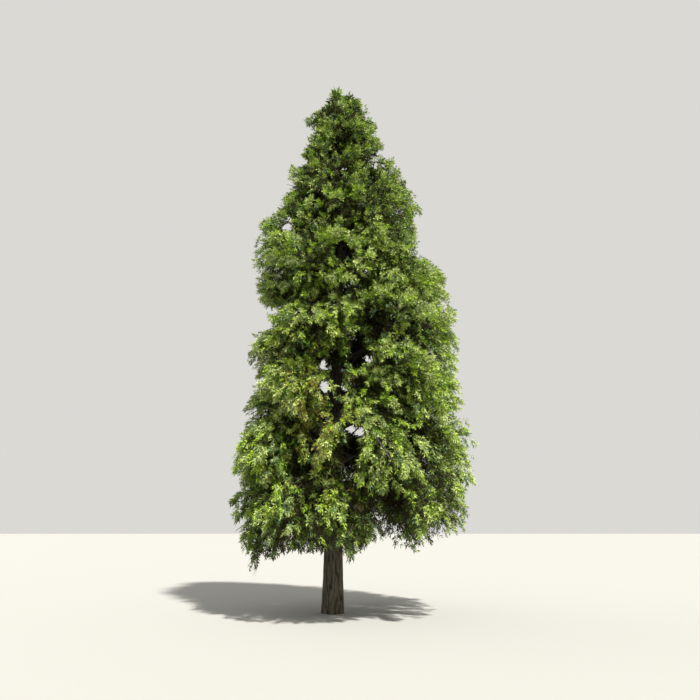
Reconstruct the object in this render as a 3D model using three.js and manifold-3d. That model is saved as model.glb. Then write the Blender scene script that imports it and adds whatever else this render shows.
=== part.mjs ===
// A Himalayan cypress: a whole conifer with a fluted trunk, boughs and hanging masses of flat sprays.
// Millimetres, +Z up. The origin is the middle of the flat cut at ground level, and -Y is the front.
import * as THREE from "three";
import { mergeVertices } from "three/addons/utils/BufferGeometryUtils.js";
import Module from "manifold-3d";

const wasm = await Module();
wasm.setup();

// Trunk
const TREE_HEIGHT = 12600;
const TRUNK_TOP = 11350; // the leader of the top mass goes on from here
const TRUNK_RADIUS = 212; // of the whole tree's cone at the ground, without the flare
const TRUNK_LEAST = 11;
const TAPER_POWER = 1.3;
const FLARE = 14;
const FLARE_HEIGHT = 260;
const SWAY_X = 110;
const SWAY_Y = 60;
const SWAY_POWER = 1.6; // above 1, the trunk sways more in its upper half
const FLUTES = 5;
const FLUTE_SHARE = 0.075; // of the radius, at the ground
const FLUTE_HEIGHT = 1500;
const TRUNK_SIDES = 14;
const TRUNK_RINGS = 15;
const TOUCH = 0.3; // the gap between pieces that touch

// Crown outline, as height, reach to the left (-X) and reach to the right (+X). Reach to the front and the
// back is halfway between them, and there is no foliage where the reach is below 0.
const OUTLINE = [
  [640, 1660, -1620],
  [1150, 1900, 1800],
  [1700, 2020, 2780],
  [2450, 2270, 3040],
  [3000, 2200, 3040],
  [4100, 1970, 2870],
  [4480, 1920, 2830],
  [5940, 2150, 2760],
  [6080, 1500, 2740],
  [6800, 1950, 2640],
  [7050, 2030, 2450],
  [7350, 2080, 2540],
  [7620, 2180, 2400],
  [7990, 2090, 1830],
  [8830, 1980, 2060],
  [9080, 1700, 2030],
  [9220, 1440, 2040],
  [9450, 1400, 2060],
  [9720, 1320, 1620],
  [10380, 1180, 1540],
  [10560, 980, 1480],
  [11200, 760, 1240],
  [11550, 900, 1100],
  [11860, 700, 800],
  [12100, 460, 820],
  [12420, 200, 580],
  [12600, 120, 400],
];

// Each tier of foliage, from the skirt up. height is where its masses end, rise how far they end above their
// root on the trunk, arch how high the limb bows as a share of its length, droop how strongly twigs hang,
// sprays how many each mass has, and phase the first mass's azimuth in degrees, from +X towards +Y.
const TIERS = [
  { height: 1500, count: 5, phase: 187, rise: -650, arch: 0.16, droop: 0.75, sprays: 11, bough: true },
  { height: 2850, count: 5, phase: 4, rise: -350, arch: 0.16, droop: 0.6, sprays: 11, bough: true },
  { height: 4200, count: 5, phase: 172, rise: -50, arch: 0.14, droop: 0.45, sprays: 11, bough: true },
  { height: 5600, count: 4, phase: -24, rise: 300, arch: 0.1, droop: 0.34, sprays: 11 },
  { height: 7000, count: 4, phase: 70, rise: 560, arch: 0.08, droop: 0.26, sprays: 11 },
  { height: 8400, count: 3, phase: 176, rise: 720, arch: 0.06, droop: 0.14, sprays: 11 },
  { height: 9800, count: 4, phase: -4, rise: 760, arch: 0.05, droop: 0.04, sprays: 9 },
  { height: 11050, count: 3, phase: 176, rise: 720, arch: 0.04, droop: -0.08, sprays: 8 },
];
// The steep side limb, whose mass makes the crown's right shoulder
const SIDE = {
  height: 7500,
  count: 1,
  phase: 22,
  rise: 2850,
  arch: 0.1,
  droop: 0.15,
  sprays: 9,
  bough: true,
};
const TIER_SPACING = 1350;
const TOP_WIDE = 850; // half the width of the upright mass on top
const TOP_DEEP = 950; // half its height
const TOP_DROOP = -0.35;
const TOP_SPRAYS = 10;
const ROOT_STEP = 150; // in height between the roots of one tier
const TIP_UNEVEN = 170; // each way, in the height of a mass
const BOUGH_SHARE = 0.36; // of the limb, from the trunk to where the bough enters its mass
const LIMB_BASE = 7; // a limb's root radius is this and its length times LIMB_SLENDER
const LIMB_SLENDER = 0.0155;
const LIMB_TIP = 5;
const BOUGH_SIDES = 6;
const BOUGH_SEGMENTS = 2;
const STEM_SEGMENTS = 3;

// Space of a mass: an ellipsoid round its stem, inside the crown's outline and cut where it meets the next
const SPACE_START = 0.14; // of the limb, where the ellipsoid begins
const SIDE_START = 0.55; // the same for the steep side limb
const SPACE_PAST = 1.06; // of the limb, where it ends
const SPACE_WIDE = 1.7; // of half the way to the next mass in the tier
const SPACE_DEEP = 1.15; // of the height between tiers
const SPACE_GAP = 14; // between two masses
const PROBE_STEP = 160; // first step of the search for the edge
const CORE_SHARE = 0.36; // of the way from the space's middle to its edge
const CORE_UNEVEN = 0.25;
const CORE_CLEAR = 40; // between a core and the limbs that pass it
const LIMB_CLEAR = 6; // between a twig or spray and a limb of another node

// Twigs and sprays
const ATTEMPTS = 3; // places tried for each spray wanted
const PLACES = 14; // looked at for each attempt, of which the best is taken
const OUTER = 0.8; // how much places near the crown's edge are preferred
const STEM_END = 0.72; // of the limb
const TWIG_BACK = 0.14; // how far towards the trunk a twig leaves the stem, as a share of the limb
const TWIG_UNEVEN = 0.1; // of the limb
const TWIG_RADIUS = 13;
const OUTWARD = 0.35; // how much a spray turns from its twig's direction to the stem's
const SHIFTS = [0.45, 0.7, 0.95]; // of the length, where a spray can lie on its place
const SPRAY_MOST = 1150;
const SPRAY_LEAST = 270;
const SPRAY_SHRINK = 0.9;
const SPRAY_THICK = 0.04; // of the length
const SPRAY_HANG = 0.1; // how far the tip hangs, as a share of the length
const SPRAY_RINGS = [
  [0.4, 0.38, 0.14],
  [0.63, 0.14, 0.34],
]; // place along the spray and reach to either side there, as shares of the length

// Openings in the foliage with sky behind: a point in the plane of the trunk and half the width and height,
// carried through the crown along the line from an eye in front of the tree
const EYE = new THREE.Vector3(340, -12600, 1600);
const WINDOWS = [
  { x: -230, z: 4630, halfWidth: 110, halfHeight: 190 },
  { x: 440, z: 3690, halfWidth: 200, halfHeight: 150 },
];
const WINDOW_LENGTH = 12000;

const COLOURS = {
  bark: new THREE.MeshStandardMaterial({ color: 0x4f4842, roughness: 0.92, metalness: 0 }),
  bough: new THREE.MeshStandardMaterial({ color: 0x4a4139, roughness: 0.92, metalness: 0 }),
  foliage: new THREE.MeshStandardMaterial({ color: 0x5f7a2c, roughness: 0.75, metalness: 0 }),
};
const UP = new THREE.Vector3(0, 0, 1);

// A seeded row of numbers from 0 to 1.
function numbersFrom(seed) {
  let state = seed;
  const next = () => {
    state = (state * 48271) % 2147483647;
    return state / 2147483647;
  };
  next();
  next();
  return next;
}

// The geometry's closed mesh as a solid to join and cut.
function solidOf(geometry) {
  const bare = geometry.clone();
  bare.deleteAttribute("normal");
  bare.deleteAttribute("uv");
  const merged = mergeVertices(bare, 1e-3);
  return new wasm.Manifold(
    new wasm.Mesh({
      numProp: 3,
      vertProperties: merged.attributes.position.array,
      triVerts: new Uint32Array(merged.index ? merged.index.array : merged.attributes.position.array.keys()),
    }),
  );
}

// The geometry of a solid's largest piece, without loose scraps or sealed hollows.
function largestPiece(solid) {
  const [largest] = solid.decompose().sort((a, b) => b.volume() - a.volume());
  const { vertProperties, triVerts } = largest.getMesh();
  return new THREE.BufferGeometry()
    .setAttribute("position", new THREE.BufferAttribute(new Float32Array(vertProperties), 3))
    .setIndex(new THREE.BufferAttribute(new Uint32Array(triVerts), 1));
}

// A named mesh of a solid. Points that its cuts left on one spot are merged, which can close a thin hollow or
// part it at a point, so its largest piece is taken until it stays whole.
function meshOf(name, solid, material) {
  let whole = solid;
  let geometry;
  do {
    geometry = largestPiece(whole);
    whole = solidOf(geometry);
  } while (whole.decompose().length > 1);
  geometry.computeVertexNormals();
  const mesh = new THREE.Mesh(geometry, material);
  mesh.name = name;
  return mesh;
}

// Moves each vertex of a geometry to where place(vertex) puts it.
function reshape(geometry, place) {
  const position = geometry.attributes.position;
  const vertex = new THREE.Vector3();
  for (let i = 0; i < position.count; i++) {
    const moved = place(vertex.fromBufferAttribute(position, i));
    position.setXYZ(i, moved.x, moved.y, moved.z);
  }
  return geometry;
}

// Two directions square to a direction, the first one level.
function acrossOf(direction) {
  const level = new THREE.Vector3().crossVectors(UP, direction);
  if (level.length() < 1e-3) level.set(1, 0, 0);
  level.normalize();
  return [level, new THREE.Vector3().crossVectors(direction, level).normalize()];
}

// A limb of round section along part of a curve. A radius of 0 at its end makes a point.
function limbSolid(curve, from, to, radiusAt, sides, segments) {
  const pointed = radiusAt(to) === 0;
  const round = new THREE.CylinderGeometry(pointed ? 0 : 1, 1, 1, sides, segments);
  return solidOf(
    reshape(round, (v) => {
      const along = from + (to - from) * (v.y + 0.5);
      const radius = radiusAt(along);
      const angle = Math.atan2(v.x, v.z);
      const onAxis = Math.hypot(v.x, v.z) < 1e-6;
      const [level, over] = acrossOf(curve.getTangent(along));
      const centre = curve.getPoint(along);
      if (onAxis) return centre;
      centre.addScaledVector(over, radius * Math.cos(angle));
      return centre.addScaledVector(level, -radius * Math.sin(angle));
    }),
  );
}

// Middle of the trunk at a height.
function trunkAxis(height) {
  const share = height / TREE_HEIGHT;
  return new THREE.Vector3(
    SWAY_X * Math.sin(Math.PI * share ** SWAY_POWER) ** 3,
    SWAY_Y * Math.sin(2 * Math.PI * share) * share,
    height,
  );
}

// Radius of the trunk at a height, with its root flare but without the flutes.
function trunkRadius(height) {
  const cone = TRUNK_RADIUS * Math.max(0, 1 - height / TREE_HEIGHT) ** TAPER_POWER;
  return Math.max(TRUNK_LEAST, cone + FLARE * Math.exp(-height / FLARE_HEIGHT));
}

// The trunk, grown on all sides by a gap.
function trunkSolid(gap) {
  const tall = new THREE.CylinderGeometry(1, 1, 1, TRUNK_SIDES, TRUNK_RINGS);
  return solidOf(
    reshape(tall, (v) => {
      const share = v.y + 0.5;
      const height = TRUNK_TOP * share ** 1.5 + (share === 1 ? gap : 0);
      const centre = trunkAxis(height);
      const angle = Math.atan2(v.x, v.z);
      if (Math.hypot(v.x, v.z) < 1e-6) return centre;
      const flute = 1 + FLUTE_SHARE * Math.exp(-height / FLUTE_HEIGHT) * Math.cos(FLUTES * angle + 0.6);
      const radius = trunkRadius(height) * flute + gap;
      return centre.add(new THREE.Vector3(radius * Math.sin(angle), -radius * Math.cos(angle), 0));
    }),
  );
}

// Reach of the crown from the trunk's axis at a height and azimuth.
function crownReach(height, azimuth) {
  const above = OUTLINE.findIndex((row) => row[0] > height);
  if (above < 1) return -1;
  const [low, high] = [OUTLINE[above - 1], OUTLINE[above]];
  const share = (height - low[0]) / (high[0] - low[0]);
  const [left, right] = [1, 2].map((side) => low[side] + (high[side] - low[side]) * share);
  return (left + right) / 2 + ((right - left) / 2) * Math.cos(azimuth);
}

// The curve of a limb: out from the trunk's middle, bowed up, to the crown's edge. Its root and its tip stand
// off the tier's own heights.
function limbCurve(tier, azimuth, rootOff, tipOff) {
  const root = trunkAxis(tier.height - tier.rise + rootOff);
  const outward = new THREE.Vector3(Math.cos(azimuth), Math.sin(azimuth), 0);
  const height = tier.height + tipOff;
  const tip = trunkAxis(height).addScaledVector(outward, crownReach(height, azimuth));
  const middle = root.clone().lerp(tip, 0.5).addScaledVector(UP, 2 * tier.arch * root.distanceTo(tip));
  return new THREE.QuadraticBezierCurve3(root, middle, tip);
}

// The ellipsoid round the outer part of a limb, as its middle, its three directions and its half sizes.
function spaceOf(curve, start, halfWide, halfDeep) {
  const inner = curve.getPoint(start);
  const along = curve.getPoint(1).sub(inner).multiplyScalar((SPACE_PAST - start) / (1 - start));
  const chordMiddle = inner.clone().addScaledVector(along, 0.5);
  const halfLong = along.length() / 2;
  along.normalize();
  const middle = curve.getPoint((1 + start) / 2).lerp(chordMiddle, 0.5);
  return { middle, axes: [along, ...acrossOf(along)], half: [halfLong, halfWide, halfDeep], walls: [] };
}

// Parts the spaces of two masses by a plane between their middles.
function partSpaces(a, b) {
  const way = b.middle.clone().sub(a.middle);
  const size = (space) => Math.cbrt(space.half[0] * space.half[1] * space.half[2]);
  const share = size(a) / (size(a) + size(b));
  const place = a.middle.clone().addScaledVector(way, share);
  const normal = way.normalize();
  const depth = normal.dot(place);
  a.walls.push({ normal, depth: depth - SPACE_GAP / 2 });
  b.walls.push({ normal: normal.clone().negate(), depth: -depth - SPACE_GAP / 2 });
}

// Whether a point lies in a mass's space.
function inSpace(space, point) {
  const from = point.clone().sub(space.middle);
  const spread = space.axes.reduce((sum, axis, i) => sum + (from.dot(axis) / space.half[i]) ** 2, 0);
  if (spread > 1 || !space.walls.every(({ normal, depth }) => normal.dot(point) <= depth)) return false;
  const axis = trunkAxis(point.z);
  const [x, y] = [point.x - axis.x, point.y - axis.y];
  return Math.hypot(x, y) <= crownReach(point.z, Math.atan2(y, x));
}

// How far it is from a point to the edge of the space.
function roomTo(space, point, direction) {
  const probe = new THREE.Vector3();
  let room = 0;
  for (let step = PROBE_STEP; step > PROBE_STEP / 10; step /= 2) {
    while (inSpace(space, probe.copy(point).addScaledVector(direction, room + step))) room += step;
  }
  return room;
}

// A spray on its twig, as one three-sided solid: the thin twig from its root to where the blade starts, and
// the blade with a tooth on each side and a low ridge, turned about its direction by roll.
function spraySolid(root, start, direction, length, roll) {
  const way = start.clone().sub(root).normalize().add(direction).normalize();
  const [level, over] = acrossOf(way);
  const side = level.multiplyScalar(Math.cos(roll)).addScaledVector(over, Math.sin(roll));
  const normal = new THREE.Vector3().crossVectors(side, way);
  const round = (centre, radius) => ({ centre, sides: [0.87 * radius, 0.87 * radius], ridge: 1.5 * radius });
  const rings = [round(root, TWIG_RADIUS), round(start, TWIG_RADIUS * 0.6)];
  for (const [along, ...sides] of [...SPRAY_RINGS, [1, 0, 0]]) {
    const centre = start.clone().addScaledVector(direction, along * length);
    centre.addScaledVector(UP, -SPRAY_HANG * length * along * along);
    rings.push({ centre, sides: sides.map((share) => share * length), ridge: SPRAY_THICK * length });
  }
  const blade = new THREE.CylinderGeometry(0, 1, 1, 3, rings.length - 1);
  return solidOf(
    reshape(blade, (v) => {
      const { centre, sides, ridge } = rings[Math.round((v.y + 0.5) * (rings.length - 1))];
      const place = centre.clone();
      if (Math.hypot(v.x, v.z) < 1e-6) return place;
      const corner = Math.sign(Math.round(2 * Math.atan2(v.x, v.z)));
      if (corner === 0) return place.addScaledVector(normal, (2 / 3) * ridge);
      place.addScaledVector(side, corner * sides[corner > 0 ? 1 : 0]);
      return place.addScaledVector(normal, -ridge / 3);
    }),
  );
}

// The dense core of a mass: an uneven lump that follows the shape of the space.
function coreSolid(space, random) {
  const lump = new THREE.IcosahedronGeometry(1, 0);
  return solidOf(
    reshape(mergeVertices(lump.deleteAttribute("normal").deleteAttribute("uv"), 1e-3), (v) => {
      const way = new THREE.Vector3();
      space.axes.forEach((axis, i) => way.addScaledVector(axis, v.getComponent(i)));
      way.normalize();
      const share = CORE_SHARE * (1 + CORE_UNEVEN * (2 * random() - 1));
      return space.middle.clone().addScaledVector(way, share * roomTo(space, space.middle, way));
    }),
  );
}

// A place in the space for the next spray: of some, the one that is far from the sprays so far and well out.
function nextPlace(space, places, random) {
  let best = null;
  for (let i = 0; i < PLACES; i++) {
    const place = space.middle.clone();
    space.axes.forEach((axis, j) => place.addScaledVector(axis, space.half[j] * (2 * random() - 1)));
    if (!inSpace(space, place)) continue;
    const outward = place.clone().sub(space.middle).dot(space.axes[0]) / space.half[0];
    const worth = Math.min(...places.map((other) => other.distanceTo(place))) * (1 + OUTER * outward);
    if (!best || worth > best.worth) best = { place, worth };
  }
  return best?.place;
}

// Where the twig to a place leaves the stem.
function twigRoot(space, curve, place, random) {
  let nearest = curve.stemFrom;
  for (let along = curve.stemFrom; along < STEM_END; along += 0.04) {
    if (curve.getPoint(along).distanceTo(place) < curve.getPoint(nearest).distanceTo(place)) nearest = along;
  }
  let along = Math.max(curve.stemFrom + 0.02, nearest - TWIG_BACK) + TWIG_UNEVEN * random();
  while (!inSpace(space, curve.getPoint(along)) && along < STEM_END) along += 0.02;
  return curve.getPoint(Math.min(along, STEM_END - 0.02));
}

// The largest spray at a place that fits and keeps clear of the sprays so far, drawn back towards the stem
// and turned on edge where that lets it be larger, or nothing.
function fittingSpray({ root, place, direction, roll, shifts }, space, kept, sprays) {
  for (let size = SPRAY_MOST; size > SPRAY_LEAST; size *= SPRAY_SHRINK) {
    for (const shift of shifts) {
      const start = place.clone().addScaledVector(direction, -shift * size);
      for (const turned of [0, Math.PI / 2]) {
        const solid = spraySolid(root, start, direction, size, roll + turned);
        if (!fits(solid, root, space, kept)) continue;
        if (sprays.every((other) => solid.intersect(other).isEmpty())) return solid;
      }
    }
  }
  return null;
}

// The solid of a window: a long bar along the line of sight.
function windowSolid({ x, z, halfWidth, halfHeight }) {
  const place = new THREE.Vector3(x, 0, z);
  const bar = new THREE.BoxGeometry(2 * halfWidth, 2 * halfHeight, WINDOW_LENGTH);
  const facing = new THREE.Matrix4().lookAt(place, EYE, UP).setPosition(place);
  return solidOf(bar.applyMatrix4(facing));
}

// Whether all vertices of a solid but those at its root lie in the space, and it keeps clear of limbs and
// windows.
function fits(solid, root, space, kept) {
  const { vertProperties } = solid.getMesh();
  const point = new THREE.Vector3();
  for (let i = 0; i < vertProperties.length; i += 3) {
    point.fromArray(vertProperties, i);
    if (point.distanceTo(root) > 2 * TWIG_RADIUS && !inSpace(space, point)) return false;
  }
  return solid.minGap(kept.limbs, LIMB_CLEAR) >= LIMB_CLEAR && solid.intersect(kept.windows).isEmpty();
}

// A mass of foliage: stem, core, twigs and sprays in one solid.
function massSolid(mass, stem, kept) {
  const { space, curve, droop, wanted, seed } = mass;
  const random = numbersFrom(seed);
  const core = coreSolid(space, random).subtract(kept.wide).subtract(kept.windows);
  const pieces = [stem, core];
  const end = curve.getTangent(STEM_END).addScaledVector(UP, -0.5 * droop).normalize();
  const [tipRoot, tipPlace] = [curve.getPoint(STEM_END - 0.04), curve.getPoint(STEM_END - 0.01)];
  const tip = { root: tipRoot, place: tipPlace, direction: end, roll: 0.3, shifts: [0] };
  const last = fittingSpray(tip, space, kept, []);
  const sprays = last ? [last] : [];
  const places = [curve.getPoint((1 + STEM_END) / 2)];
  for (let i = 0; i < ATTEMPTS * wanted && sprays.length < wanted; i++) {
    const place = nextPlace(space, places, random);
    const roll = Math.PI * (random() - 0.5) * 0.8;
    if (!place) continue;
    const root = twigRoot(space, curve, place, random);
    const direction = place
      .clone()
      .sub(root)
      .normalize()
      .addScaledVector(space.axes[0], OUTWARD)
      .addScaledVector(UP, -droop)
      .normalize();
    const spray = fittingSpray({ root, place, direction, roll, shifts: SHIFTS }, space, kept, sprays);
    if (!spray) continue;
    sprays.push(spray);
    places.push(place);
  }
  return wasm.Manifold.union([...pieces, ...sprays]);
}

// The masses of all tiers, each with its curve and its space, and the upright one on top.
function plannedMasses() {
  const masses = [];
  [...TIERS, SIDE].forEach((tier, level) => {
    for (let i = 0; i < tier.count; i++) {
      const azimuth = THREE.MathUtils.degToRad(tier.phase + (360 / tier.count) * i);
      const unlike = numbersFrom(500 * (level + 1) + 29 * i);
      const lift = tier === SIDE ? 0 : TIP_UNEVEN * (2 * unlike() - 1);
      const curve = limbCurve(tier, azimuth, ROOT_STEP * (i - (tier.count - 1) / 2), lift);
      curve.stemFrom = tier.bough ? BOUGH_SHARE : 0;
      const start = tier === SIDE ? SIDE_START : SPACE_START;
      const middleReach = (crownReach(tier.height, azimuth) * (1 + start)) / 2;
      const halfWide = (SPACE_WIDE * Math.PI * middleReach) / Math.max(4, tier.count);
      const space = spaceOf(curve, start, halfWide, SPACE_DEEP * TIER_SPACING);
      const name = tier === SIDE ? "side" : `${level + 1}_${i + 1}`;
      const seed = 1000 * (level + 1) + 37 * i + 11;
      masses.push({ name, tier, curve, space, droop: tier.droop, wanted: tier.sprays, seed });
    }
  });
  const leader = new THREE.QuadraticBezierCurve3(
    trunkAxis(TRUNK_TOP + 2 * TOUCH),
    trunkAxis((TRUNK_TOP + TREE_HEIGHT) / 2),
    trunkAxis(TREE_HEIGHT).add(new THREE.Vector3(-30, 0, 0)),
  );
  leader.stemFrom = 0;
  const top = spaceOf(leader, 0, TOP_WIDE, TOP_WIDE);
  top.half[0] = TOP_DEEP;
  top.middle = trunkAxis(TREE_HEIGHT - TOP_DEEP);
  const upright = { droop: TOP_DROOP, wanted: TOP_SPRAYS, seed: 20011 };
  masses.push({ name: "top", tier: null, curve: leader, space: top, ...upright });
  masses.forEach((a, i) => masses.slice(i + 1).forEach((b) => partSpaces(a.space, b.space)));
  return masses;
}

// Radius of a limb along its curve, down to its tip.
function limbRadius(curve) {
  const root = LIMB_BASE + LIMB_SLENDER * curve.getLength();
  return (t) => LIMB_TIP + (root - LIMB_TIP) * (1 - t) ** 0.8;
}

function cypress() {
  const group = new THREE.Group();
  const trunk = trunkSolid(0);
  const roundTrunk = trunkSolid(TOUCH);
  const masses = plannedMasses();
  const boughs = new Map();
  for (const { name, tier, curve } of masses) {
    if (!tier?.bough) continue;
    const whole = limbSolid(curve, 0, BOUGH_SHARE, limbRadius(curve), BOUGH_SIDES, BOUGH_SEGMENTS);
    boughs.set(name, whole.subtract(roundTrunk));
  }
  group.add(meshOf("trunk", trunk, COLOURS.bark));
  boughs.forEach((bough, name) => group.add(meshOf(`bough_${name}`, bough, COLOURS.bough)));

  const limbs = wasm.Manifold.union([trunk, ...boughs.values()]);
  const wideBoughs = masses
    .filter(({ tier }) => tier?.bough)
    .map(({ curve }) => {
      const radiusAt = (t) => limbRadius(curve)(t) + CORE_CLEAR;
      return limbSolid(curve, 0.02, BOUGH_SHARE + 0.01, radiusAt, BOUGH_SIDES, BOUGH_SEGMENTS);
    });
  const kept = {
    limbs,
    wide: wasm.Manifold.union([trunkSolid(CORE_CLEAR), ...wideBoughs]),
    windows: wasm.Manifold.union(WINDOWS.map(windowSolid)),
  };
  for (const mass of masses) {
    const radius = limbRadius(mass.curve);
    const start = mass.curve.stemFrom + (mass.tier?.bough ? TOUCH / mass.curve.getLength() : 0);
    const round = limbSolid(mass.curve, start, STEM_END, radius, 3, STEM_SEGMENTS);
    const stem = mass.tier && !mass.tier.bough ? round.subtract(roundTrunk) : round;
    group.add(meshOf(`foliage_${mass.name}`, massSolid(mass, stem, kept), COLOURS.foliage));
  }
  return group;
}

export default cypress();
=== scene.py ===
"""The looks of a whole Himalayan cypress: barked trunk and boughs, fine twigs and hanging leafy sprays.

Metres, +Z up. The origin is the middle of the flat cut at ground level, and -Y is the front. Each mass of
foliage grows on from its limb by the same rule as the frame's solids, carried on to finer twigs.
"""

import logging
import math
from collections.abc import Callable
from dataclasses import dataclass, field
from enum import Enum
from functools import partial

import bpy
import numpy as np
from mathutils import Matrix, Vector, noise


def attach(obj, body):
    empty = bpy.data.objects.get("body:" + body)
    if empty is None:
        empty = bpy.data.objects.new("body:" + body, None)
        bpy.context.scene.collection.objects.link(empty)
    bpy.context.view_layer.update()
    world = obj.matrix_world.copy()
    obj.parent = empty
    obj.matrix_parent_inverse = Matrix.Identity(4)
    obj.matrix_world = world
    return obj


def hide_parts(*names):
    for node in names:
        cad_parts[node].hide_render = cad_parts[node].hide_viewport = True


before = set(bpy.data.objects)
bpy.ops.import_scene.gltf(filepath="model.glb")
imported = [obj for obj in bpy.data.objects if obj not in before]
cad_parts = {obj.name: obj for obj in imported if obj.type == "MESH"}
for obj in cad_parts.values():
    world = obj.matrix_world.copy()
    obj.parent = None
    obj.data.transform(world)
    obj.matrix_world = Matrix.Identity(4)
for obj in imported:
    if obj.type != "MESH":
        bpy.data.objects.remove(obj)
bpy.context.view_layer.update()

log = logging.getLogger("cypress")

Points = np.ndarray
Colour = tuple[float, float, float]
Place = tuple[float, float, float]

UP = np.array([0.0, 0.0, 1.0])
SPIRAL = math.radians(137.5)  # from one side twig to the next
ANY_TURN = 6.28  # a full turn, for starts that are drawn at random
FAR = 9.0  # past everything that is measured


# Numbers and vectors


@dataclass
class Numbers:
    """A seeded row of numbers from 0 to 1, drawn as the frame's source draws its own."""

    state: int
    factor: int = 48271
    whole: int = 2147483647

    def __post_init__(self) -> None:
        """Leaves out the first two numbers, which are alike for seeds that are close together."""
        self.take(2)

    def take(self, count: int) -> Points:
        """Draws the next numbers.

        Args:
            count: How many numbers to draw.

        Returns:
            The numbers, from 0 to 1.
        """
        drawn = []
        for _ in range(count):
            self.state = self.state * self.factor % self.whole
            drawn.append(self.state / self.whole)
        return np.array(drawn)

    def one(self) -> float:
        """Draws one number."""
        return float(self.take(1)[0])


def unit(vectors: Points) -> Points:
    """Scales vectors to a length of 1, along their last axis."""
    return vectors / np.maximum(np.linalg.norm(vectors, axis=-1, keepdims=True), 1e-9)


def across(direction: Points) -> tuple[Points, Points]:
    """Finds two directions square to each direction, the first one level.

    Args:
        direction: Unit vectors, one in each row, or a single one.

    Returns:
        The level directions, and the directions square to both.
    """
    level = np.cross(UP, direction)
    steep = np.linalg.norm(level, axis=-1, keepdims=True) < 1e-3
    level = unit(np.where(steep, np.array([1.0, 0.0, 0.0]), level))
    return level, unit(np.cross(direction, level))


def random_factor(
    factor: tuple[float, float], rng: np.random.Generator, count: int | None = None
) -> Points | float:
    """Draws factors at random, from the least one to so much more.

    Args:
        factor: The least factor, and how much more it may be.
        rng: The generator.
        count: How many are drawn, where it isn't a single one.

    Returns:
        The factors.
    """
    least, more = factor
    return least + more * rng.random(count)


def linear(red: int, green: int, blue: int) -> Colour:
    """Turns a colour as seen on a screen, from 0 to 255 a channel, into the shader's linear values."""
    channels = (red, green, blue)
    return tuple(((c / 255 + 0.055) / 1.055) ** 2.4 if c > 10 else c / 255 / 12.92 for c in channels)


# Finishes


class Graph:
    """A node tree under construction, with short calls for adding and joining nodes."""

    def __init__(self, tree: bpy.types.NodeTree) -> None:
        """Starts from an empty tree."""
        self.tree = tree
        tree.nodes.clear()

    def node(
        self, kind: str, inputs: dict[str | int, object] | None = None, **settings: object
    ) -> bpy.types.Node:
        """Adds one node.

        Args:
            kind: Type of the node, without the ShaderNode at its front.
            inputs: Values or sockets for its inputs, by name or number.
            **settings: Other properties of the node.

        Returns:
            The new node.
        """
        made = self.tree.nodes.new(kind if kind.startswith("NodeGroup") else "ShaderNode" + kind)
        for name, value in settings.items():
            setattr(made, name, value)
        for name, value in (inputs or {}).items():
            if isinstance(value, bpy.types.NodeSocket):
                self.tree.links.new(value, made.inputs[name])
            else:
                made.inputs[name].default_value = value
        return made

    def ramp(self, factor: bpy.types.NodeSocket, stops: list[tuple[float, Colour]]) -> bpy.types.NodeSocket:
        """Adds a colour ramp.

        Args:
            factor: What it reads.
            stops: Place and linear colour of each stop.

        Returns:
            Its colour socket.
        """
        ramp = self.node("ValToRGB", {"Fac": factor})
        elements = ramp.color_ramp.elements
        while len(elements) < len(stops):
            elements.new(0.5)
        for element, (place, colour) in zip(elements, stops):
            element.position = place
            element.color = (*colour, 1.0)
        return ramp.outputs["Color"]

    def mix(self, share: object, first: object, second: object, blend: str) -> bpy.types.NodeSocket:
        """Mixes two colours, by the numbers that a colour's sockets have on the node.

        Args:
            share: How much the second one counts, as a number or a socket.
            first: The first colour, with its alpha, or its socket.
            second: The second one.
            blend: How they are mixed.

        Returns:
            The mixed colour's socket.
        """
        mixed = self.node("Mix", {0: share, 6: first, 7: second}, data_type="RGBA", blend_type=blend)
        return mixed.outputs[2]

    def surface(self, inputs: dict[str | int, object]) -> None:
        """Adds the shader and joins it to the material's output."""
        self.node("OutputMaterial", {"Surface": self.node("BsdfPrincipled", inputs).outputs["BSDF"]})


def effect_group(
    name: str, inputs: dict[str, float], outputs: list[str]
) -> tuple[Graph, bpy.types.NodeOutputs, bpy.types.NodeSocket]:
    """Starts a shader node group whose sockets are all numbers.

    Args:
        name: Name of the group.
        inputs: Its inputs and their usual values.
        outputs: Its outputs.

    Returns:
        The group's graph, the sockets that give its inputs, and the object's own coordinates.
    """
    tree = bpy.data.node_groups.new(name, "ShaderNodeTree")
    for label, value in inputs.items():
        socket = tree.interface.new_socket(label, in_out="INPUT", socket_type="NodeSocketFloat")
        socket.default_value = value
    for label in outputs:
        tree.interface.new_socket(label, in_out="OUTPUT", socket_type="NodeSocketFloat")
    graph = Graph(tree)
    return graph, graph.node("NodeGroupInput").outputs, graph.node("TexCoord").outputs["Object"]


def bark_fibre_group() -> bpy.types.ShaderNodeTree:
    """Makes the bark's fibres: long strips and fine threads that run along +Z, and patches of lichen.

    Returns:
        The group, whose outputs are masks from 0 to 1.
    """
    scales = {"Strip Scale": 18.0, "Thread Scale": 90.0}
    graph, given, place = effect_group("bark_fibres", scales, ["Strip", "Thread", "Lichen"])
    upright = graph.node("Mapping", {"Vector": place, "Scale": (1.0, 1.0, 0.09)}).outputs["Vector"]
    masks = {
        "Strip": {"Vector": upright, "Scale": given["Strip Scale"], "Detail": 3.0},
        "Thread": {"Vector": upright, "Scale": given["Thread Scale"], "Detail": 4.0},
        "Lichen": {"Vector": place, "Scale": 7.0, "Detail": 5.0, "Roughness": 0.65},
    }
    results = {label: graph.node("TexNoise", inputs).outputs["Fac"] for label, inputs in masks.items()}
    graph.node("NodeGroupOutput", results)
    return graph.tree


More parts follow.
